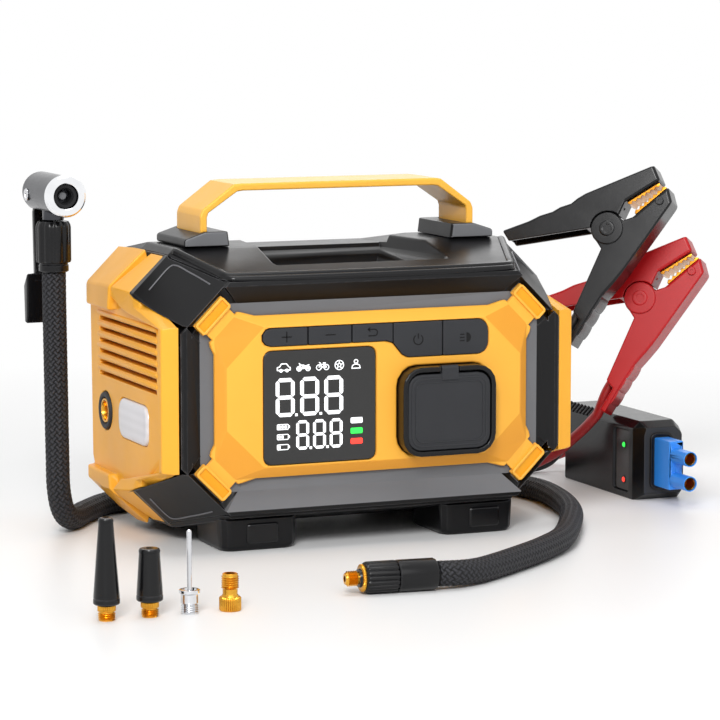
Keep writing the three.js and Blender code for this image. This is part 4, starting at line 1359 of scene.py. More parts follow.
@dataclass
class AirHose(Assembly):
    """The braided hose with its lever chuck at one end and its screw tip at the other."""

    r: float = 5.7
    weave: float = 0.35
    sides: int = 64
    step: float = 0.8
    path_step: int = 4
    chuck: Point = (-140.6, 79, 97)
    hinge: tuple[float, float] = (14.0, -1.0)
    collar_x: float = -141.2
    grip_from: Point = (-20, -119.4, -69.4)
    grip_to: Point = (-55.3, -115.9, -69.4)

    def build(self) -> None:
        """Make the hose, both its ends and their fittings."""
        line = smooth_route(HOSE_ROUTE, self.step)
        sleeve = tube("air_hose_sleeve", line, self.woven, self.sides)
        hose = dress(sleeve, Look.BRAID, stands_for=["air_hose"])
        self.collar()
        self.head()
        self.grip()

    def woven(self, run: float, angle: float) -> float:
        """Raise the strands of the sleeve.

        Args:
            run: length along the hose.
            angle: angle round it.

        Returns:
            Its radius there.
        """
        girth = 2 * math.pi * self.r
        lanes = [(angle / (2 * math.pi) + sign * run / girth) * STRANDS for sign in (1, -1)]
        crown = [1 - (2 * (lane % 1) - 1) ** 2 for lane in lanes]
        over = (math.floor(lanes[0]) + math.floor(lanes[1])) % 2
        return self.r + self.weave * (crown[0] if over else crown[1])

    def collar(self) -> None:
        """The black collar under the chuck: ten broad flutes over a plain neck ring."""
        foot = (self.collar_x, self.chuck[1], 0)
        ribbed = [(7.2, 62.4), (8.5, 62.9), (8.8, 63.9), (8.8, 80.4), (8.5, 81.9), (7.6, 83.4), (5.2, 83.6)]
        made = fluted("chuck_collar_flutes", ribbed, foot, UP, 10, 0.75)
        self.add(made, Look.SATIN, nodes=["chuck_collar"])
        neck = [(0, 58), (6.9, 58), (7.5, 58.5), (7.5, 61.4), (7.1, 61.9), (7.1, 62.6), (0, 62.6)]
        self.turned("chuck_collar_neck", neck, foot, Look.SATIN)

    def head(self) -> None:
        """The chrome barrel with its bright ring, its seal, its pin, its hinge screws and the lever."""
        x, y, z = self.chuck
        back, up = self.hinge
        self.mould("chuck_body", "chuck_barrel", Look.DARK_CHROME, 0.5, angle=24)
        ring = [(6.2, -19), (6.3, -20.3), (6.7, -20.7), (9.4, -20.7), (10, -20.2), (10.5, -19.4),
                (10.5, -17.4), (10.1, -17)]
        self.turned("chuck_bright_ring", ring, self.chuck, Look.BRIGHT_CHROME, way=BACK, sides=64,
                    closed=True)
        seal = [(3.6, -17.4), (4.4, -18.6), (5.7, -18.8), (6.25, -18.2), (6.25, -12), (3.6, -12)]
        self.turned("chuck_seal", seal, self.chuck, Look.FOOT, way=BACK, closed=True)
        pin = [(0, -14.4), (1.7, -14.3), (2.1, -13.8), (2.1, -8), (0, -8)]
        self.turned("chuck_valve_pin", pin, self.chuck, Look.GREY, way=BACK, sides=28)
        screw = [(0, 10), (1.3, 10), (1.5, 10.7), (2.7, 10.8), (3.1, 10.4), (3.1, 9.4), (0, 9.4)]
        hinge = (x, y + back, z + up)
        for side, name in SIDES:
            self.turned(f"chuck_hinge_screw_{name}", screw, hinge, Look.CHROME, way=(side, 0, 0))
        self.mould("chuck_lever", "chuck_thumb_lever", Look.SATIN, 0.7, body="lever")

    def grip(self) -> None:
        """The grip with its smooth sleeve, its flutes, its knurled brass ring and its threaded tip."""
        line = Vector(self.grip_to) - Vector(self.grip_from)
        foot, way, end = self.grip_from, tuple(line.normalized()), line.length
        sleeve = [(0, 0.4), (6.2, 0.4), (7, 0.8), (7.5, 1.8), (7.5, 19), (7.2, 19.4), (0, 19.4)]
        self.turned("grip_sleeve", sleeve, foot, Look.SATIN, nodes=["hose_collar"], way=way, sides=64)
        ribbed = [(6.6, 19.4), (7.4, 20), (7.5, 20.6), (7.5, end - 1.8), (7.1, end - 0.6), (6, end)]
        self.add(fluted("grip_flutes", ribbed, foot, way, 18, 0.7), Look.SATIN)
        knurl = [(4.6, end - 0.1), (6.2, end), (6.4, end + 0.4), (6.4, end + 1.1), (6.1, end + 1.5),
                 (4.6, end + 1.6)]
        self.add(fluted("grip_brass_ring", knurl, foot, way, 48, 0.3, 4), Look.BRASS)
        neck = [(0, end + 1.5), (4.5, end + 1.5), (4.2, end + 2.6), (0, end + 2.6)]
        self.turned("grip_neck", neck, foot, Look.SATIN, way=way)
        tip = [(1.5, end + 9), (1.5, end + 3), (2.9, end + 2.4), *ridges(end + 3.2, end + 8.2, 6, 2.9, 3.6),
               (2.8, end + 8.6), (2.5, end + 9)]
        self.turned("grip_brass_tip", tip, foot, Look.BRASS, nodes=["hose_tip"], way=way, sides=40,
                    closed=True, angle=40)


# ------------------------------------------------------------------ clamps and smart box
LEAD_REST = -73.6
BOX_REAR = 150.3
RED_ROUTE: list[Point] = [
    (179.7, 86, -13.1), (175.3, 87.3, -20.8), (172.9, 88.4, -27.5), (172, 91, -33), (171.2, 97.5, -38.2),
    (170, 103.5, -43), (167, 112.5, -50.3), (164, 119, -56), (158, 130, -63.5), (151, 142, -69.5),
    (143, 155, -73), (136, 170, LEAD_REST), (138, 187, LEAD_REST), (152, 199, LEAD_REST),
    (172, 199, LEAD_REST), (189, 190, -72.8), (197.5, 178, -67.5), (199.6, 165, -59.5), (199.5, 156, -55.6),
    (199.5, BOX_REAR, -55),
]
BLACK_ROUTE: list[Point] = [
    (152.7, 73, 27.6), (148.2, 74.4, 19.7), (144.6, 77.5, 11), (142, 83, 1), (140, 90.5, -11),
    (138.5, 100, -23.5), (138, 111, -35.5), (138, 123, -45.5), (138.6, 135, -53.5), (141, 146, -60),
    (146, 155, -65.5), (153, 161, -70), (162, 165, -73), (171, 166.5, LEAD_REST), (179, 165.5, -71),
    (185, 163, -64.5), (187, 159, -58.5), (186.6, 154, -55.3), (186.5, BOX_REAR, -55),
]


@dataclass
class Lead:
    """One silicone lead from a clamp to the smart box."""

    name: str
    node: str
    route: list[Point]
    look: Look
    r: float = 2.8
    step: float = 1.5
    sides: int = 24

    def build(self, pieces: list[bpy.types.Object]) -> None:
        """Args:
            pieces: the pieces that go with it; not used.
        """
        line = smooth_route(self.route, self.step)
        made = dress(tube(self.name, line, lambda run, angle: self.r, self.sides), self.look,
                     stands_for=[self.node])


@dataclass
class Clamp(Assembly):
    """A battery clamp: two plastic arms on a pin, a spring and toothed jaws."""

    colour: str
    middle: Point
    look: Look
    yaw: float = 38.0
    lean: float = 13.0
    half: float = 11.0
    boss: Flat = (27.5, 15.5)
    slope: Flat = (-0.49, -0.872)
    waves: tuple[Flat, ...] = ((-3.4, -40.0), (-7.7, -47.3), (-11.6, -54.2))
    wave: Flat = (4.4, 0.9)
    inset: float = 0.7
    wire: float = 0.55
    coils: int = 3
    coil_r: float = 4.9
    coil_from: float = 4.35
    coil_long: float = 1.4
    steps: int = 24

    def own(self, x: float, y: float, z: float) -> Vector:
        """Carry a point of the clamp's own frame into the row frame.

        Args:
            x: along the jaws.
            y: across the clamp.
            z: up.

        Returns:
            The point in metres.
        """
        angles = ((self.yaw, "Z"), (self.lean, "X"))
        turn, tip = (Matrix.Rotation(math.radians(-angle), 3, axis) for angle, axis in angles)
        return at(*(Vector(self.middle) + turn @ tip @ Vector((x, y, z))))

    def build(self) -> None:
        """Make both arms, the jaws, the pin and the spring."""
        c, arm = self.colour, self.colour + "_arm"
        self.mould(c + "_upper_arm", c + "_upper_shell", self.look, 1.6, 4, arm)
        self.mould(c + "_lower_arm", c + "_lower_shell", self.look, 1.6, 4)
        self.mould(c + "_pivot_pin", c + "_pivot_cap", self.look, 0.25, 2)
        rivet = [(0, 0), (2, 0), (2.3, 0.3), (2.3, 0.8), (1.9, 1.2), (0.9, 1.2), (0.8, 0.8), (0, 0.8)]
        for side, name in ((-1, "front"), (1, "back")):
            foot = (self.boss[0], side * (self.half - 0.1), self.boss[1])
            self.turned(f"{c}_jaw_rivet_{name}", rivet, foot, self.look, way=(0, side, 0), sides=32,
                        to_row=self.own)
        self.grip_waves()
        self.spring()
        for node, body in ((c + "_upper_jaw", arm), (c + "_lower_jaw", "pack")):
            self.mould(node, node + "_plate", Look.COPPER, 0.2, 2, body)

    def grip_waves(self) -> None:
        """Low waves for the fingers on the lower arm."""
        (along, across), (long, high) = self.slope, self.wave
        turns = [2 * math.pi * i / self.steps for i in range(self.steps)]
        waves = Shape(self.own)
        for x, z in self.waves:
            oval = [(long * math.cos(t), high * math.sin(t)) for t in turns]
            outline = [(x + a * along - b * across, z + a * across + b * along) for a, b in oval]
            waves.prism(outline, self.inset - self.half, self.half - self.inset)
        self.add(soften(waves.object(self.colour + "_grip_waves"), 0.4, 2), self.look)

    def spring(self) -> None:
        """The torsion spring round the pin."""
        turns = [2 * math.pi * i / self.steps for i in range(self.steps * self.coils + 1)]
        rise = self.coil_long / turns[-1]
        line = [Vector((self.coil_r * math.cos(a), self.coil_from + rise * a, self.coil_r * math.sin(a)))
                for a in turns]
        made = tube(self.colour + "_torsion_spring", line, lambda run, angle: self.wire, 10, self.own)
        self.add(made, Look.DARK_CHROME, nodes=[self.colour + "_spring"])


@dataclass
class SmartBox(Assembly):
    """The control box on the leads, with its two lights and its blue plug."""

    x0: float = 179.0
    y0: float = 57.0
    z1: float = -34.0
    glass_x: Flat = (1.2, 2.6)
    cut: float = 4.0
    window: tuple[float, float, float, float, float] = (77, -56.7, 17.2, 33.2, 2)
    lamp_y: float = 75.4
    lamps: tuple[float, float] = (-48.4, -67.6)
    tube_x: float = 192.9
    tube_z: tuple[float, float] = (-50.0, -63.3)
    cup_y: float = 25.0
    recess: tuple[float, float, float, float] = (-55.5, 12, 29.6, 3)
    rim: float = 1.6
    rim_y: Flat = (-1.4, 0.3)
    ribs: int = 10
    rib: Point = (1.6, 1.3, 0.5)
    rib_half: float = 3.0
    rib_y: float = 106.0
    rib_step: float = 4.2

    def build(self) -> None:
        """Make the box, its lights, the plug and its contacts."""
        shell = self.mould("smart_box", "smart_box_shell", Look.SATIN, 0.8)
        second_finish(shell, Look.RUBBER, lambda middle, normal: normal.y < -FACING)
        window = Shape().prism(rounded(*self.window), *(self.x0 + deep for deep in self.glass_x), "x")
        self.add(soften(window.object("light_window"), 0.3), Look.GLASS)
        for z, look, name in zip(self.lamps, (Look.GREEN, Look.RED_LIGHT), ("ready", "fault")):
            self.light(name + "_light", z, look)
        recess = rounded(self.tube_x, *self.recess)
        rim = Shape().ribbon(recess, self.rim, *(self.y0 + y for y in self.rim_y), closed=True)
        self.add(soften(rim.object("plug_recess_frame"), 0.4), Look.SATIN)
        self.side_ribs()
        self.mould("plug_housing", "plug_shell", Look.BLUE, 0.9)
        cup = [(0, 33), (2.75, 32.8), (2.8, 24.8), (3.0, 24.5), (3.3, 24.8), (3.3, 33.6), (0, 33.6)]
        for z, node in zip(self.tube_z, ("plus_contact", "minus_contact")):
            made = self.turned(node + "_sleeve", cup, (self.tube_x, 0, z), Look.BRASS, nodes=[node],
                               way=BACK, sides=32)
            # the faces deep in the sleeve take the darker brass: painted shade
            second_finish(made, Look.BORE, lambda middle, normal: middle.y > self.cup_y and normal.y < 0.5)

    def light(self, name: str, z: float, look: Look) -> None:
        """Set a light and its rim on the window.

        Args:
            name: the light's name.
            z: its height.
            look: its colour.
        """
        foot = (self.x0 + self.glass_x[0] + 0.1, self.lamp_y, z)
        dot = [(0, 0), (1.4, 0), (1.4, 0.4), (1, 0.8), (0, 0.9)]
        self.turned(name, dot, foot, look, way=LEFT, sides=24)
        rim = [(1.5, -0.1), (2.3, -0.1), (2.3, 0.3), (1.9, 0.45), (1.5, 0.3)]
        self.turned(name + "_rim", rim, foot, Look.SATIN, way=LEFT, sides=32, closed=True)

    def side_ribs(self) -> None:
        """The row of ribs on the slanted edge of the box."""
        outline = rounded(0, 0, *self.rib, 3)
        rib = Shape(local).prism(outline, -self.rib_half, self.rib_half, "z").object("smart_box_ribs")
        place = frame_along((self.x0 + self.cut / 2, self.rib_y, self.z1 - self.cut / 2), (1, 0, 1))
        step = place.to_3x3().inverted() @ Vector((0, self.rib_step * MM, 0))
        self.add(Copies.make(rib, self.ribs, Look.SATIN, place, tuple(step)), Look.SATIN)


# ------------------------------------------------------------------ the pack
@dataclass
class Case(Assembly):
    """The shells of the pack: frame, housing, end caps, covers and the carrying strap.

    A row of corners is the depth, then half the width, the height of the side, half the width of the
    top or bottom, and its height. A row of the hood is the depth, half the width, and width plus height
    of the upper and the lower slanted face.
    """

    bracket_front: float = 0.8
    seat: Point = (91.3, 3.4, 47.0)
    bar: Point = (80.0, 3.6, -46.0)
    crest_z: float = 55.5
    corners: tuple[tuple[float, float, float, float, float], ...] = (
        (0, 102.2, 32.9, 75.2, 59.9), (44, 111.3, 49.3, 89.9, 70.7))
    lower_corners: tuple[tuple[float, float, float, float, float], ...] = (
        (0, 102.2, 32.9, 75.7, 59.4), (44, 111.3, 50, 91.4, 69.9))
    upper_line: tuple[Flat, ...] = (
        (37, 0.2), (37.3, 0.4), (37.4, 0.66), (36.6, 0.735), (34, 0.77), (26, 0.775), (16, 0.775), (8, 0.77))
    lower_line: tuple[Flat, ...] = (
        (39.3, 0.26), (39.6, 0.45), (39.6, 0.7), (38.8, 0.78), (36, 0.815), (26, 0.82), (16, 0.82), (8, 0.81))
    line_r: float = 0.42
    hood_y: float = 68.5
    hood_z: Flat = (37.0, 46.3)
    hood_rows: tuple[tuple[float, float, float, float], ...] = (
        (44, 111.3, 160.6, 161.3), (85, 111.3, 160.0, 164.8), (113, 111, 158.4, 162.5),
        (119, 108.4, 152.4, 152.9))
    proud: float = 2.6
    fade: float = 6.0
    foot_x: float = 60.5
    foot_z: float = -68.3
    louvre_x: float = 108.4
    louvre_z: float = 33.8
    louvre_pitch: float = 5.66
    louvre_r: float = 1.5
    louvres: int = 6
    screw_x: float = 78.0
    screw_z: float = 45.0

    def build(self) -> None:
        """Round the shells, give them their finishes and add what is moulded on them."""
        for node, width in (("rear_housing", 1.6), ("top_cover", 2.0), ("bottom_cover", 1.6)):
            self.mould(node, node + "_shell", Look.BLACK, width, 4)
        for _, side in SIDES:
            made = self.mould(side + "_bracket", side + "_bracket_shell", Look.BLACK, 1.5, 4)
            second_finish(made, Look.GREY, lambda middle, normal: normal.y < -self.bracket_front)
        for _, side in SIDES:
            self.mould(side + "_end_cap", side + "_end_cap_shell", Look.YELLOW, 1.6, 4, shift=self.hood)
        self.mould("carry_handle", "carry_handle_strap", Look.HANDLE, 1.2, 4)
        made = self.mould("front_frame", "front_frame_shell", Look.BLACK, 1.3, 4)
        second_finish(made, Look.GREY, self.is_grey)
        self.lips()
        self.corner_panels()
        self.foot_pads()
        self.louvre_ribs()
        self.screws()

    def hood(self, point: Vector) -> Vector:
        """How far the hoods of the end caps stand proud of the front band.

        Args:
            point: a point of an end cap, in the pack's frame.

        Returns:
            Its shift in millimetres.
        """
        wide, high = abs(point.x), abs(point.z)
        upper = point.z > self.hood_z[0]
        if point.y < self.hood_y or not (upper or point.z < -self.hood_z[1]):
            return Vector()
        pairs = zip(self.hood_rows, self.hood_rows[1:])
        spans = [(near, far) for near, far in pairs if near[0] <= point.y <= far[0] + 0.01]
        if not spans:
            return Vector()
        (y0, *low), (y1, *far) = spans[0]
        edge, top, bottom = (a + (b - a) * (point.y - y0) / (y1 - y0) for a, b in zip(low, far))
        side = wide > edge - 0.6
        slant = wide + high > (top if upper else bottom) - 1.2
        if not (side or slant):
            return Vector()
        out = self.proud * min(1.0, (self.hood_rows[-1][0] - point.y) / self.fade)
        across = out if side else out / math.sqrt(2)
        up = out / math.sqrt(2) if not side else out * (math.sqrt(2) - 1) if slant else 0.0
        return Vector((math.copysign(across, point.x), 0, math.copysign(up, point.z)))

    def is_grey(self, middle: Vector, normal: Vector) -> bool:
        """Say which faces of the front frame are grey: its sunk seat, grey of its own, and its lower bar,
        where the grey is a painted highlight on the faces that look up.

        Args:
            middle: of the face.
            normal: of the face.

        Returns:
            Whether the face is grey.
        """
        x, y, z = self.seat
        seat = abs(middle.x) < x and abs(middle.z) < z and abs(middle.y - y) < 0.6 and normal.y < -FACING
        # the lower bar's upward faces are painted grey as the light that falls on them
        x, y, z = self.bar
        bar = -self.crest_z - 0.3 < middle.z < z and middle.y < y and abs(middle.x) < x and normal.z > 0.4
        return seat or bar

    def slant(self, y: float, part: float, side: int, up: int) -> Vector:
        """Find a point of a slanted corner face.

        Args:
            y: its depth.
            part: 0 at the side and 1 at the top or bottom.
            side: -1 on the left and 1 on the right.
            up: 1 on the upper faces and -1 on the lower ones.

        Returns:
            The point in the pack's frame.
        """
        (y0, *low), (y1, *high) = self.corners if up > 0 else self.lower_corners
        hw, zs, xt, zt = (a + (b - a) * (y - y0) / (y1 - y0) for a, b in zip(low, high))
        return Vector((side * (hw + (xt - hw) * part), y, up * (zs + (zt - zs) * part)))

    def lips(self) -> None:
        """Two rounded lips round the front of the top cover."""
        for name, r, y, drop in (("upper_lip", 2.4, 4.4, 1.5), ("lower_lip", 1.9, 1.3, 1.7)):
            down = Vector((0, 0, drop))
            half = [self.slant(d, 1, 1, 1) - down for d in (43, 30, 18, 9)]
            corner = self.slant(y, 1, 1, 1) - down
            half += [corner + Vector((0.6, 1.6, 0.2)), corner - Vector((1.6, 0.2, 0))]
            line = smooth_route([*half, *(Vector((-p.x, p.y, p.z)) for p in reversed(half))], 2.0)
            self.add(tube("top_cover_" + name, line, lambda run, angle, r=r: r, 16), Look.SATIN)

    def corner_panels(self) -> None:
        """A fine raised outline on each slanted corner of the frame, in a lighter grey that paints the
        highlight along it.
        """
        for side, name in SIDES:
            for (up, level), outline in zip(LEVELS, (self.upper_line, self.lower_line)):
                line = smooth_route([self.slant(y, part, side, up) for y, part in outline], 1.0)
                made = tube(f"{name}_{level}_corner_line", line, lambda run, angle: self.line_r, 10)
                self.add(made, Look.EDGE)

    def foot_pads(self) -> None:
        """A raised pad on the front of each foot."""
        rows = ((4.6, 17, 10.4, 1.6), (3.9, 17, 10.4, 1.6), (3.1, 15.2, 8.6, 1.2))
        for side, name in SIDES:
            x = side * self.foot_x + 2
            pad = Shape().loft([[(a, y, b) for a, b in rounded(x, self.foot_z, w, h, r)]
                                for y, w, h, r in rows])
            self.add(soften(pad.object(name + "_foot_pad"), 0.35), Look.SATIN)

    def louvre_ribs(self) -> None:
        """Rounded ribs between the louvres of both end caps."""
        rows = ((15.4, 0.35), (15.9, 0.8), (17, 1), (106, 1), (107.2, 0.8), (107.7, 0.35))
        turns = [2 * math.pi * i / 16 for i in range(16)]
        r, lowest = self.louvre_r, self.louvre_z - (self.louvres - 1) * self.louvre_pitch
        for side, name in SIDES:
            rib = Shape(local).loft([[(r * s * math.cos(a), y, r * s * math.sin(a)) for a in turns]
                                     for y, s in rows])
            place = Matrix.Translation(at(side * self.louvre_x, 0, lowest))
            made = Copies.make(rib.object(name + "_louvre_ribs"), self.louvres, Look.YELLOW, place,
                               (0, 0, self.louvre_pitch * MM))
            self.add(made, Look.YELLOW)

    def screws(self) -> None:
        """Screws in the back of the rear housing; each crosshead is turned as a plain round pit."""
        profile = [(0, 0.5), (0.9, 0.5), (1.1, 1.1), (2.3, 1.0), (2.9, 0.5), (3, -0.4), (0, -0.4)]
        for up, row in LEVELS:
            made = Shape(local).turn(profile, (0, 0, 0), BACK, 24).object(f"rear_screws_{row}")
            place = Matrix.Translation(at(-self.screw_x, REAR, up * self.screw_z))
            self.add(Copies.make(made, 3, Look.STEEL, place, (self.screw_x * MM, 0, 0)), Look.STEEL)


@dataclass
class FrontPanel(Assembly):
    """The yellow front panel with its four corner tabs."""

    root: float = 85.9
    along: float = 93.1
    half: float = 10.1
    across: float = 31.3
    wall: float = 1.3
    rim_y: Flat = (-0.6, 1.3)
    core_y: Flat = (0.5, 1.3)
    core_inset: float = 2.2

    def build(self) -> None:
        """Round the panel and set a raised rim and a core on each tab."""
        made = self.mould("front_panel", "front_panel_shell", Look.PANEL, 0.9, 4)
        # the slopes that look down or aside take the deeper yellow: painted shade
        second_finish(made, Look.LOW_YELLOW, self.is_low)
        middle, wide, high = (self.root + self.along) / 2, self.along - self.root, 2 * self.half
        for sx, side in SIDES:
            for sz, level in LEVELS:
                tab = self.tab(sx, sz)
                outline = rounded(middle, self.across, wide - self.wall, high - self.wall, 1.1)
                rim = Shape(tab).ribbon(outline, self.wall, *self.rim_y, closed=True, axis="z")
                self.add(soften(rim.object(f"{side}_{level}_tab_rim"), 0.4), Look.PANEL)
                outline = rounded(middle, self.across, wide - self.core_inset, high - self.core_inset, 0.6)
                core = Shape(tab).prism(outline, *self.core_y, "z")
                self.add(soften(core.object(f"{side}_{level}_tab_core"), 0.15), Look.DEEP_YELLOW)

    @staticmethod
    def is_low(middle: Vector, normal: Vector) -> bool:
        """Say which faces of the panel take a deeper yellow as painted shade: its slopes that look down or to
        a side.

        Args:
            middle: of the face.
            normal: of the face.

        Returns:
            Whether the face is on a slope that looks down or to a side.
        """
        leans = -0.985 < normal.y < -0.2 and middle.y < 3
        looks_down, looks_aside = normal.z < -0.12, abs(normal.x) > 0.12
        return leans and (looks_down or looks_aside) and normal.z < 0.6

    @staticmethod
    def tab(sx: int, sz: int) -> Placer:
        """Make a placer for a corner tab.

        Args:
            sx: -1 on the left and 1 on the right.
            sz: -1 below and 1 above.

        Returns:
            What turns the way out to the corner, the way across it and the depth into metres.
        """
        x, z = sx / math.sqrt(2), sz / math.sqrt(2)
        return lambda out, across, y: at(x * (out + across), y, z * (out - across))


class Drawing:
    """Marks of the display and the keys, drawn as thin raised strokes."""

    def __init__(self, middle: Flat, low: float, high: float, stroke: float) -> None:
        """Start a drawing.

        Args:
            middle: where its own zero is, as x and z.
            low: depth of its front.
            high: depth of its back.
            stroke: width of a line.
        """
        self.shape = Shape()
        self.middle, self.low, self.high, self.stroke = middle, low, high, stroke

    def moved(self, points: Sequence[Flat]) -> list[Flat]:
        """The drawing's own points in the pack's frame."""
        return [(self.middle[0] + a, self.middle[1] + b) for a, b in points]

    def line(self, points: Sequence[Flat], closed: bool = False) -> "Drawing":
        """Draw a stroke through some points."""
        self.shape.ribbon(self.moved(points), self.stroke, self.low, self.high, closed)
        return self

    def ring(self, r: float, a: float = 0.0, b: float = 0.0, steps: int = 24) -> "Drawing":
        """Draw a circle about (a, b)."""
        return self.line(arc(r, 0, 360, steps, (a, b))[:-1], True)

    def patch(self, points: Sequence[Flat]) -> "Drawing":
        """Fill an outline."""
        self.shape.prism(self.moved(points), self.low, self.high)
        return self

    def bar(self, a: Flat, b: Flat, gap: float) -> "Drawing":
        """Fill a segment of a figure, a bar with pointed ends.

        Args:
            a: where it starts.
            b: where it ends.
            gap: what it stays short of both.

        Returns:
            The drawing itself.
        """
        half, way = self.stroke / 2, (Vector(b) - Vector(a)).normalized()
        side = Vector((-way.y, way.x)) * half
        p, q = Vector(a) + way * gap, Vector(b) - way * gap
        return self.patch([p, p + way * half + side, q - way * half + side, q, q - way * half - side,
                           p + way * half - side])

    def done(self, owner: Assembly, name: str, look: Look, body: str = "pack") -> None:
        """Make the marks one piece of an assembly."""
        owner.add(self.shape.object(name), look, body)


@dataclass
class Display(Assembly):
    """The display: its glass, its lit figures, its signs and its lamps.

    A row of cells or lamps is its place from the left, then the places of its marks from the top, as
    shares of the glass.
    """

    x0: float = -59.9
    z1: float = 22.7
    wide: float = 59.8
    high: float = 56.6
    low: float = -1.78
    top: float = -1.52
    signs_v: float = 0.15
    large_v: float = 0.41
    large: Point = (10.0, 19.2, 1.9)
    small_v: float = 0.748
    small: Point = (6.8, 14.6, 1.45)
    gap: float = 0.28
    point: float = 0.65
    cells: tuple[float, ...] = (0.173, 0.668, 0.756, 0.845)
    lamps: tuple[float, ...] = (0.827, 0.646, 0.738, 0.83)

    def drawing(self, u: float, v: float, stroke: float = 0.5) -> Drawing:
        """Start a drawing on the glass.

        Args:
            u: its place from the left, as a share of the glass.
            v: its place from the top, as a share of the glass.
            stroke: width of a line.

        Returns:
            The drawing.
        """
        return Drawing((self.x0 + u * self.wide, self.z1 - v * self.high), self.low, self.top, stroke)

    def build(self) -> None:
        """Make the glass and light everything on it."""
        self.mould("display_window", "display_pane", Look.GLASS, 0.4, 2)
        signs = ((self.car, 0.178, 0.5), (self.motorbike, 0.352, 0.45), (self.bicycle, 0.523, 0.42),
                 (self.ball, 0.672, 0.42), (self.person, 0.822, 0.45))
        for draw, u, stroke in signs:
            sign = self.drawing(u, self.signs_v, stroke)
            draw(sign)
            sign.done(self, draw.__name__ + "_sign", Look.WHITE)
        self.figures("large_figures", (0.19, 0.407, 0.622), self.large_v, self.large)
        self.figures("small_figures", (0.344, 0.494, 0.643), self.small_v, self.small)
        u, *rows = self.cells
        for i, v in enumerate(rows):
            cell = self.drawing(u, v, 0.4)
            cell.line(rounded(-0.3, 0, 5.8, 2.5, 0.4, 2), True).patch(box_outline((2.8, -0.6), (3.4, 0.6)))
            for k in range(3 - i):
                cell.patch(box_outline((-2.6 + 1.6 * k, -0.75), (-1.5 + 1.6 * k, 0.75)))
            cell.done(self, f"cell_sign_{i + 1}", Look.WHITE)
        u, *rows = self.lamps
        for v, look, name in zip(rows, (Look.WHITE, Look.GREEN, Look.RED_LIGHT), ("white", "green", "red")):
            lamp = self.drawing(u, v).patch(rounded(0, 0, 6.4, 2.9, 0.6, 3))
            lamp.done(self, name + "_state_lamp", look)

    def figures(self, name: str, places: Sequence[float], v: float, size: Point) -> None:
        """Draw seven-segment eights in a row, with a point after each but the last.

        Args:
            name: the piece's name.
            places: where each stands from the left, as shares of the glass.
            v: where they stand from the top, as a share of the glass.
            size: width, height and stroke of a figure.
        """
        w, h, stroke = size
        drawing = self.drawing(0, v, stroke)
        across, up, r = w / 2 - stroke / 2, (h - stroke) / 2, self.point
        for k, u in enumerate(places):
            cx = u * self.wide
            for level in (up, 0.0, -up):
                drawing.bar((cx - across, level), (cx + across, level), self.gap)
            for x in (cx - across, cx + across):
                drawing.bar((x, up), (x, 0.0), self.gap).bar((x, 0.0), (x, -up), self.gap)
            if k + 1 < len(places):
                dx, dz = cx + w / 2 + 0.9, 0.7 - h / 2
                drawing.patch(box_outline((dx - r, dz - r), (dx + r, dz + r)))
        drawing.done(self, name, Look.WHITE)

    @staticmethod
    def car(marks: Drawing) -> None:
        """Draw the car."""
        marks.line([(-2.1, -1.2), (-3.4, -1.1), (-3.4, 0.2), (-2.2, 0.6), (-1.2, 2), (1.4, 2), (2.6, 0.5),
                    (3.4, 0), (3.4, -1.1), (2.3, -1.2)])
        marks.line([(-0.9, -1.2), (1.1, -1.2)]).ring(0.62, -1.5, -1.35, 14).ring(0.62, 1.7, -1.35, 14)

    @staticmethod
    def motorbike(marks: Drawing) -> None:
        """Draw the motorbike.

        Args:
            marks: where it is drawn.
        """
        for wheel in (-2.3, 2.4):
            marks.ring(1.15, wheel, -0.8, 18).ring(0.35, wheel, -0.8, 10)
        marks.line([(-2.3, -0.8), (-1.6, 1.2), (-2.4, 1.9)]).line([(-1.6, 1), (0, 0.9), (1.2, 0.4), (3.1, 1)])
        marks.patch([(-0.9, -1), (0.9, -1), (1.2, 0.4), (-0.8, 0.7)])

    @staticmethod
    def bicycle(marks: Drawing) -> None:
        """Draw the bicycle.

        Args:
            marks: where it is drawn.
        """
        marks.ring(1.3, -2, -0.7, 18).ring(1.3, 2, -0.7, 18)
        marks.line([(-2, -0.7), (-1.1, 1.4), (-1.9, 1.9)])
        marks.line([(-1.3, 0.7), (0, -0.7), (1.1, 0.9), (-1.3, 0.7)])
        marks.line([(0, -0.7), (2, -0.7), (0.9, 1.4)]).line([(0.2, 1.5), (1.6, 1.5)])

    @staticmethod
    def ball(marks: Drawing) -> None:
        """Draw the ball, a five-sided patch with a seam from each of its corners.

        Args:
            marks: where it is drawn.
        """
        inner, outer = (arc(r, 90, 450, 5)[:-1] for r in (1.0, 2.2))
        marks.ring(2.3).line(inner, True)
        for a, b in zip(inner, outer):
            marks.line([a, b])

    @staticmethod
    def person(marks: Drawing) -> None:
        """Draw the person."""
        marks.ring(0.95, 0, 1.35, 16)
        marks.line([(-2.2, -2), (-1.9, -0.6), (-0.8, 0), (0.8, 0), (1.9, -0.6), (2.2, -2)], True)


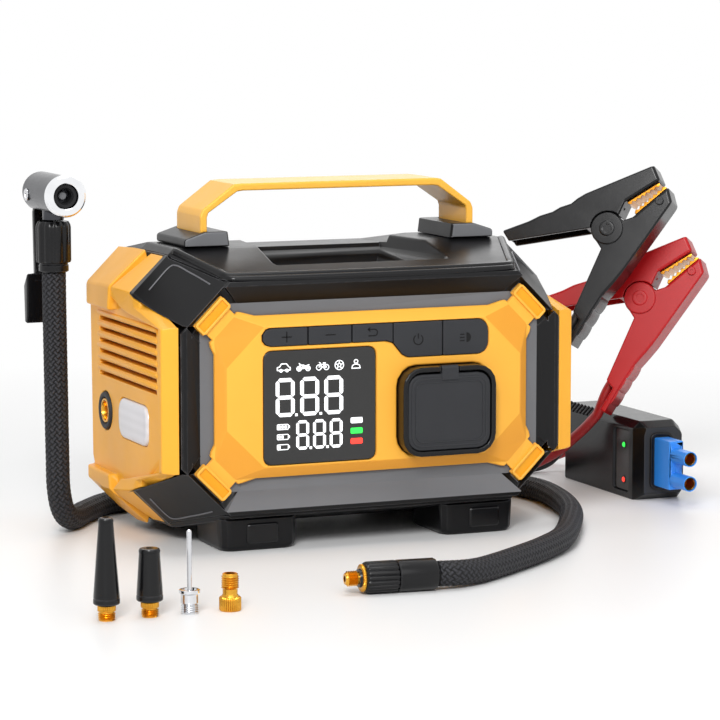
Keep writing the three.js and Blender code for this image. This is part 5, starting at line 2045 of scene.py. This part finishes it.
@dataclass
class Controls(Assembly):
    """The keys, the socket bezel with its door, the lamp and the air outlet."""

    face: float = -2.6
    stroke: float = 0.6
    plus_at: Flat = (-48, 29.5)
    minus_at: Flat = (-24.8, 29.6)
    back_at: Flat = (-2.0, 29.7)
    power_at: Flat = (22.6, 25)
    headlamp_at: Flat = (48.7, 25)
    bezel: Flat = (37.1, -11.2)
    door: Point = (45.2, 38.4, 7.0)
    rim_y: Flat = (-9.35, -8.7)
    lens: Flat = (51.6, -16.3)
    lens_x: float = -109.0
    outlet: Flat = (95.7, -16.2)

    def build(self) -> None:
        """Dress what the user presses, opens and screws on."""
        for key in ("plus", "minus", "mode", "power", "lamp"):
            self.mould(key + "_button", key + "_key_cap", Look.RUBBER, 0.6, body=key + "_key")
        self.key_signs()
        self.mould("socket_bezel", "socket_frame", Look.SATIN, 1.25, 5)
        self.mould("socket_door", "socket_flap", Look.RUBBER, 0.6, body="door")
        w, h, r = self.door
        for name, inset, stroke in (("outer", 4.4, 0.9), ("inner", 8.4, 0.5)):
            outline = rounded(*self.bezel, w - inset, h - inset, r - inset / 2.6)
            rim = Shape().ribbon(outline, stroke, *self.rim_y, closed=True)
            self.add(soften(rim.object(f"socket_flap_{name}_rim"), 0.15), Look.RUBBER, "door")
        self.lamp()
        self.air_port()

    def mark(self, spot: Flat) -> Drawing:
        """Start a drawing on a key."""
        return Drawing(spot, self.face - 0.12, self.face + 0.1, self.stroke)

    def key_signs(self) -> None:
        """Draw the plain signs on the keys."""
        plus = self.mark(self.plus_at).line([(-2.7, 0), (2.7, 0)]).line([(0, -2.7), (0, 2.7)])
        plus.done(self, "plus_sign", Look.MARK, "plus_key")
        self.mark(self.minus_at).line([(-2.7, 0), (2.7, 0)]).done(self, "minus_sign", Look.MARK, "minus_key")
        bend = arc(1.6, 80, -80, 8, (0.8, 0))
        back = self.mark(self.back_at).line([(-2.5, 1.6), (0.8, 1.6), *bend, (0.8, -1.6), (-2.5, -1.6)])
        back.line([(-1.5, 2.6), (-2.6, 1.6), (-1.5, 0.6)]).done(self, "back_sign", Look.MARK, "mode_key")
        power = self.mark(self.power_at).line(arc(2.5, 125, 415, 20)).line([(0, 0.5), (0, 3.2)])
        power.done(self, "power_sign", Look.MARK, "power_key")
        lamp = self.mark(self.headlamp_at).patch([(0.4, -2.5), *arc(2.5, -80, 80, 10, (0.4, 0)), (0.4, 2.5)])
        for z in (-1.6, 0, 1.6):
            lamp.line([(-3.2, z), (-0.7, z)])
        lamp.done(self, "headlamp_sign", Look.MARK, "lamp_key")

    def lamp(self) -> None:
        """The lamp's domed lens on the left side."""
        rows = ((-104, 44.7, 20.2, 7.6), (self.lens_x, 44.7, 20.2, 7.6), (self.lens_x - 0.7, 43.4, 18.9, 7),
                (self.lens_x - 1.1, 40, 15.6, 5.6))
        lens = Shape().loft([[(x, a, b) for a, b in rounded(*self.lens, w, h, r, 8)] for x, w, h, r in rows])
        self.add(crisp(lens.object("lamp_cover"), 60), Look.LENS, nodes=["lamp_lens"])

    def air_port(self) -> None:
        """The air outlet on the left side: a threaded brass tube in a dark rim."""
        foot = (0, *self.outlet)
        rim = [(6.9, 103.5), (9.7, 103.5), (9.75, 109), (9.4, 109.9), (8.6, 110.2), (7.4, 110), (6.9, 109.4)]
        self.turned("air_port_rim", rim, foot, Look.RUBBER, nodes=["air_port_ring"], way=LEFT, sides=56,
                    closed=True)
        thread = [(4.2 if k % 2 else 4.7, 103 - 0.8 * k) for k in range(12)]
        bore = [(4, 84), (6.4, 84), (6.5, 109.2), (6.1, 109.7), (5.2, 109.7), (4.8, 109), (4.6, 104), *thread]
        self.turned("air_outlet_tube", bore, foot, Look.BRASS, nodes=["air_outlet"], way=LEFT, closed=True)


@dataclass
class Nozzles(Assembly):
    """The four loose nozzles that stand in front of the pack."""

    long: Point = (-182.5, -125.2, -LIFT)
    short: Point = (-162.3, -125.1, -LIFT)
    needle: Point = (-143.7, -125.5, -LIFT)
    adaptor: Point = (-124.6, -126.2, -LIFT)

    def build(self) -> None:
        """Make the nozzles."""
        self.cone("long_cone", self.long, "long_nozzle", height=46, tip=2.8)
        self.cone("short_cone", self.short, "short_nozzle", height=31, tip=4.2)
        self.ball_needle()
        self.valve_adaptor()

    def cone(self, name: str, spot: Point, body: str, height: float, tip: float) -> None:
        """Make a black cone on a brass foot with a thread and a knurled ring.

        Args:
            name: the cone's node.
            spot: where it stands.
            body: the CAD body that it rides on.
            height: of the whole nozzle.
            tip: radius near its tip.
        """
        skirt = [(1.6, 7.4), (5.6, 7.4), (6, 7.9), (6, 9.6), (5.7, 10), (5.9, 10.5),
                 (tip + 0.5, height - 2.4), (tip + 0.6, height - 1), (tip + 0.2, height - 0.2),
                 (tip - 0.4, height), (1.6, height)]
        self.turned(name + "_turned", skirt, spot, Look.SATIN, body=body, nodes=[name], closed=True)
        foot = [(2, 0), (3.4, 0), (3.7, 0.4), *ridges(0.8, 3.6, 3, 3.4, 4), (3.3, 3.9), (3.3, 4.3), (2, 4.3)]
        self.turned(name + "_thread", foot, spot, Look.BRASS, body=body, nodes=[name + "_base"], closed=True)
        ring = [(2.2, 4.2), (3.8, 4.2), (4.1, 4.5), (4.1, 6.8), (3.8, 7.1), (2.2, 7.1)]
        self.add(fluted(name + "_knurl", ring, spot, UP, 28, 0.3, 4), Look.BRASS, body)

    def ball_needle(self) -> None:
        """The bright needle with its threaded foot and its flange."""
        foot = [(0, 0), (3.3, 0), *ridges(0.4, 4.2, 4, 3.3, 3.9), (3.5, 4.6), (4, 5), (4, 8.9), (4.8, 9.6),
                (4.8, 10.8), (4.4, 11), (3.4, 11), (3, 9.8)]
        stem = [(1.2, 9.8), (1.1, 10.2), (1.1, 37.2), (0.7, 38), (0, 38)]
        self.turned("ball_needle_turned", [*foot, *stem], self.needle, Look.CHROME, body="needle",
                    nodes=["ball_needle"])

    def valve_adaptor(self) -> None:
        """The brass adaptor: a knurled foot under a threaded head."""
        ring = [(2.4, 0), (4.6, 0), (5, 0.6), (5, 5.9), (4.6, 6.4), (2.4, 6.4)]
        knurl = fluted("valve_adaptor_knurl", ring, self.adaptor, UP, 30, 0.35, 4)
        self.add(knurl, Look.BRASS, "adaptor", ["valve_adaptor"])
        thread = ridges(11, 16, 5, 3.5, 4)
        head = [(2.4, 6.3), (4.2, 6.3), (3.8, 7), (3.4, 7.6), (3.4, 10), (4, 10.6), *thread, (3.6, 16.6),
                (3.2, 17), (2.4, 17)]
        self.turned("valve_adaptor_head", head, self.adaptor, Look.BRASS, body="adaptor", closed=True)


KEPT: dict[str, Look] = {
    "main_board": Look.BOARD, "battery_pack": Look.CELLS, "pump_motor": Look.STEEL,
    "motor_pinion": Look.STEEL, "crank_gear": Look.STEEL, "pump_piston": Look.STEEL,
    "pump_cylinder": Look.STEEL, "starter_socket": Look.BLUE, "socket_block": Look.BLACK,
}


def finish_kept_nodes() -> None:
    """Give the nodes that stay as they are their finishes."""
    for node, look in KEPT.items():
        made = bpy.data.objects[node]
        made.data.materials.clear()
        made.data.materials.append(look.material())
        log.info("%s keeps its shape", node)


def main() -> None:
    """Build the studio, the cords, the pack and its kit, and note their size."""
    logging.basicConfig(level=logging.INFO, format="%(name)s: %(message)s")
    Studio().build()
    red = Clamp("red", (196.4, 85.4, 28.7), Look.RED)
    black = Clamp("black", (169.1, 72.4, 68.5), Look.SATIN)
    box = SmartBox()
    for part in (AirHose(), red, black, box, Case(), FrontPanel(), Display(), Controls(), Nozzles()):
        part.build()
        log.info("%s: %d pieces", type(part).__name__, len(part.pieces))
    Lead("red_silicone_lead", "red_lead", RED_ROUTE, Look.RED_SHEATH).build([*red.pieces, *box.pieces])
    Lead("black_silicone_lead", "black_lead", BLACK_ROUTE, Look.BLACK_SHEATH).build(black.pieces)
    finish_kept_nodes()


if __name__ == "__main__":
    main()
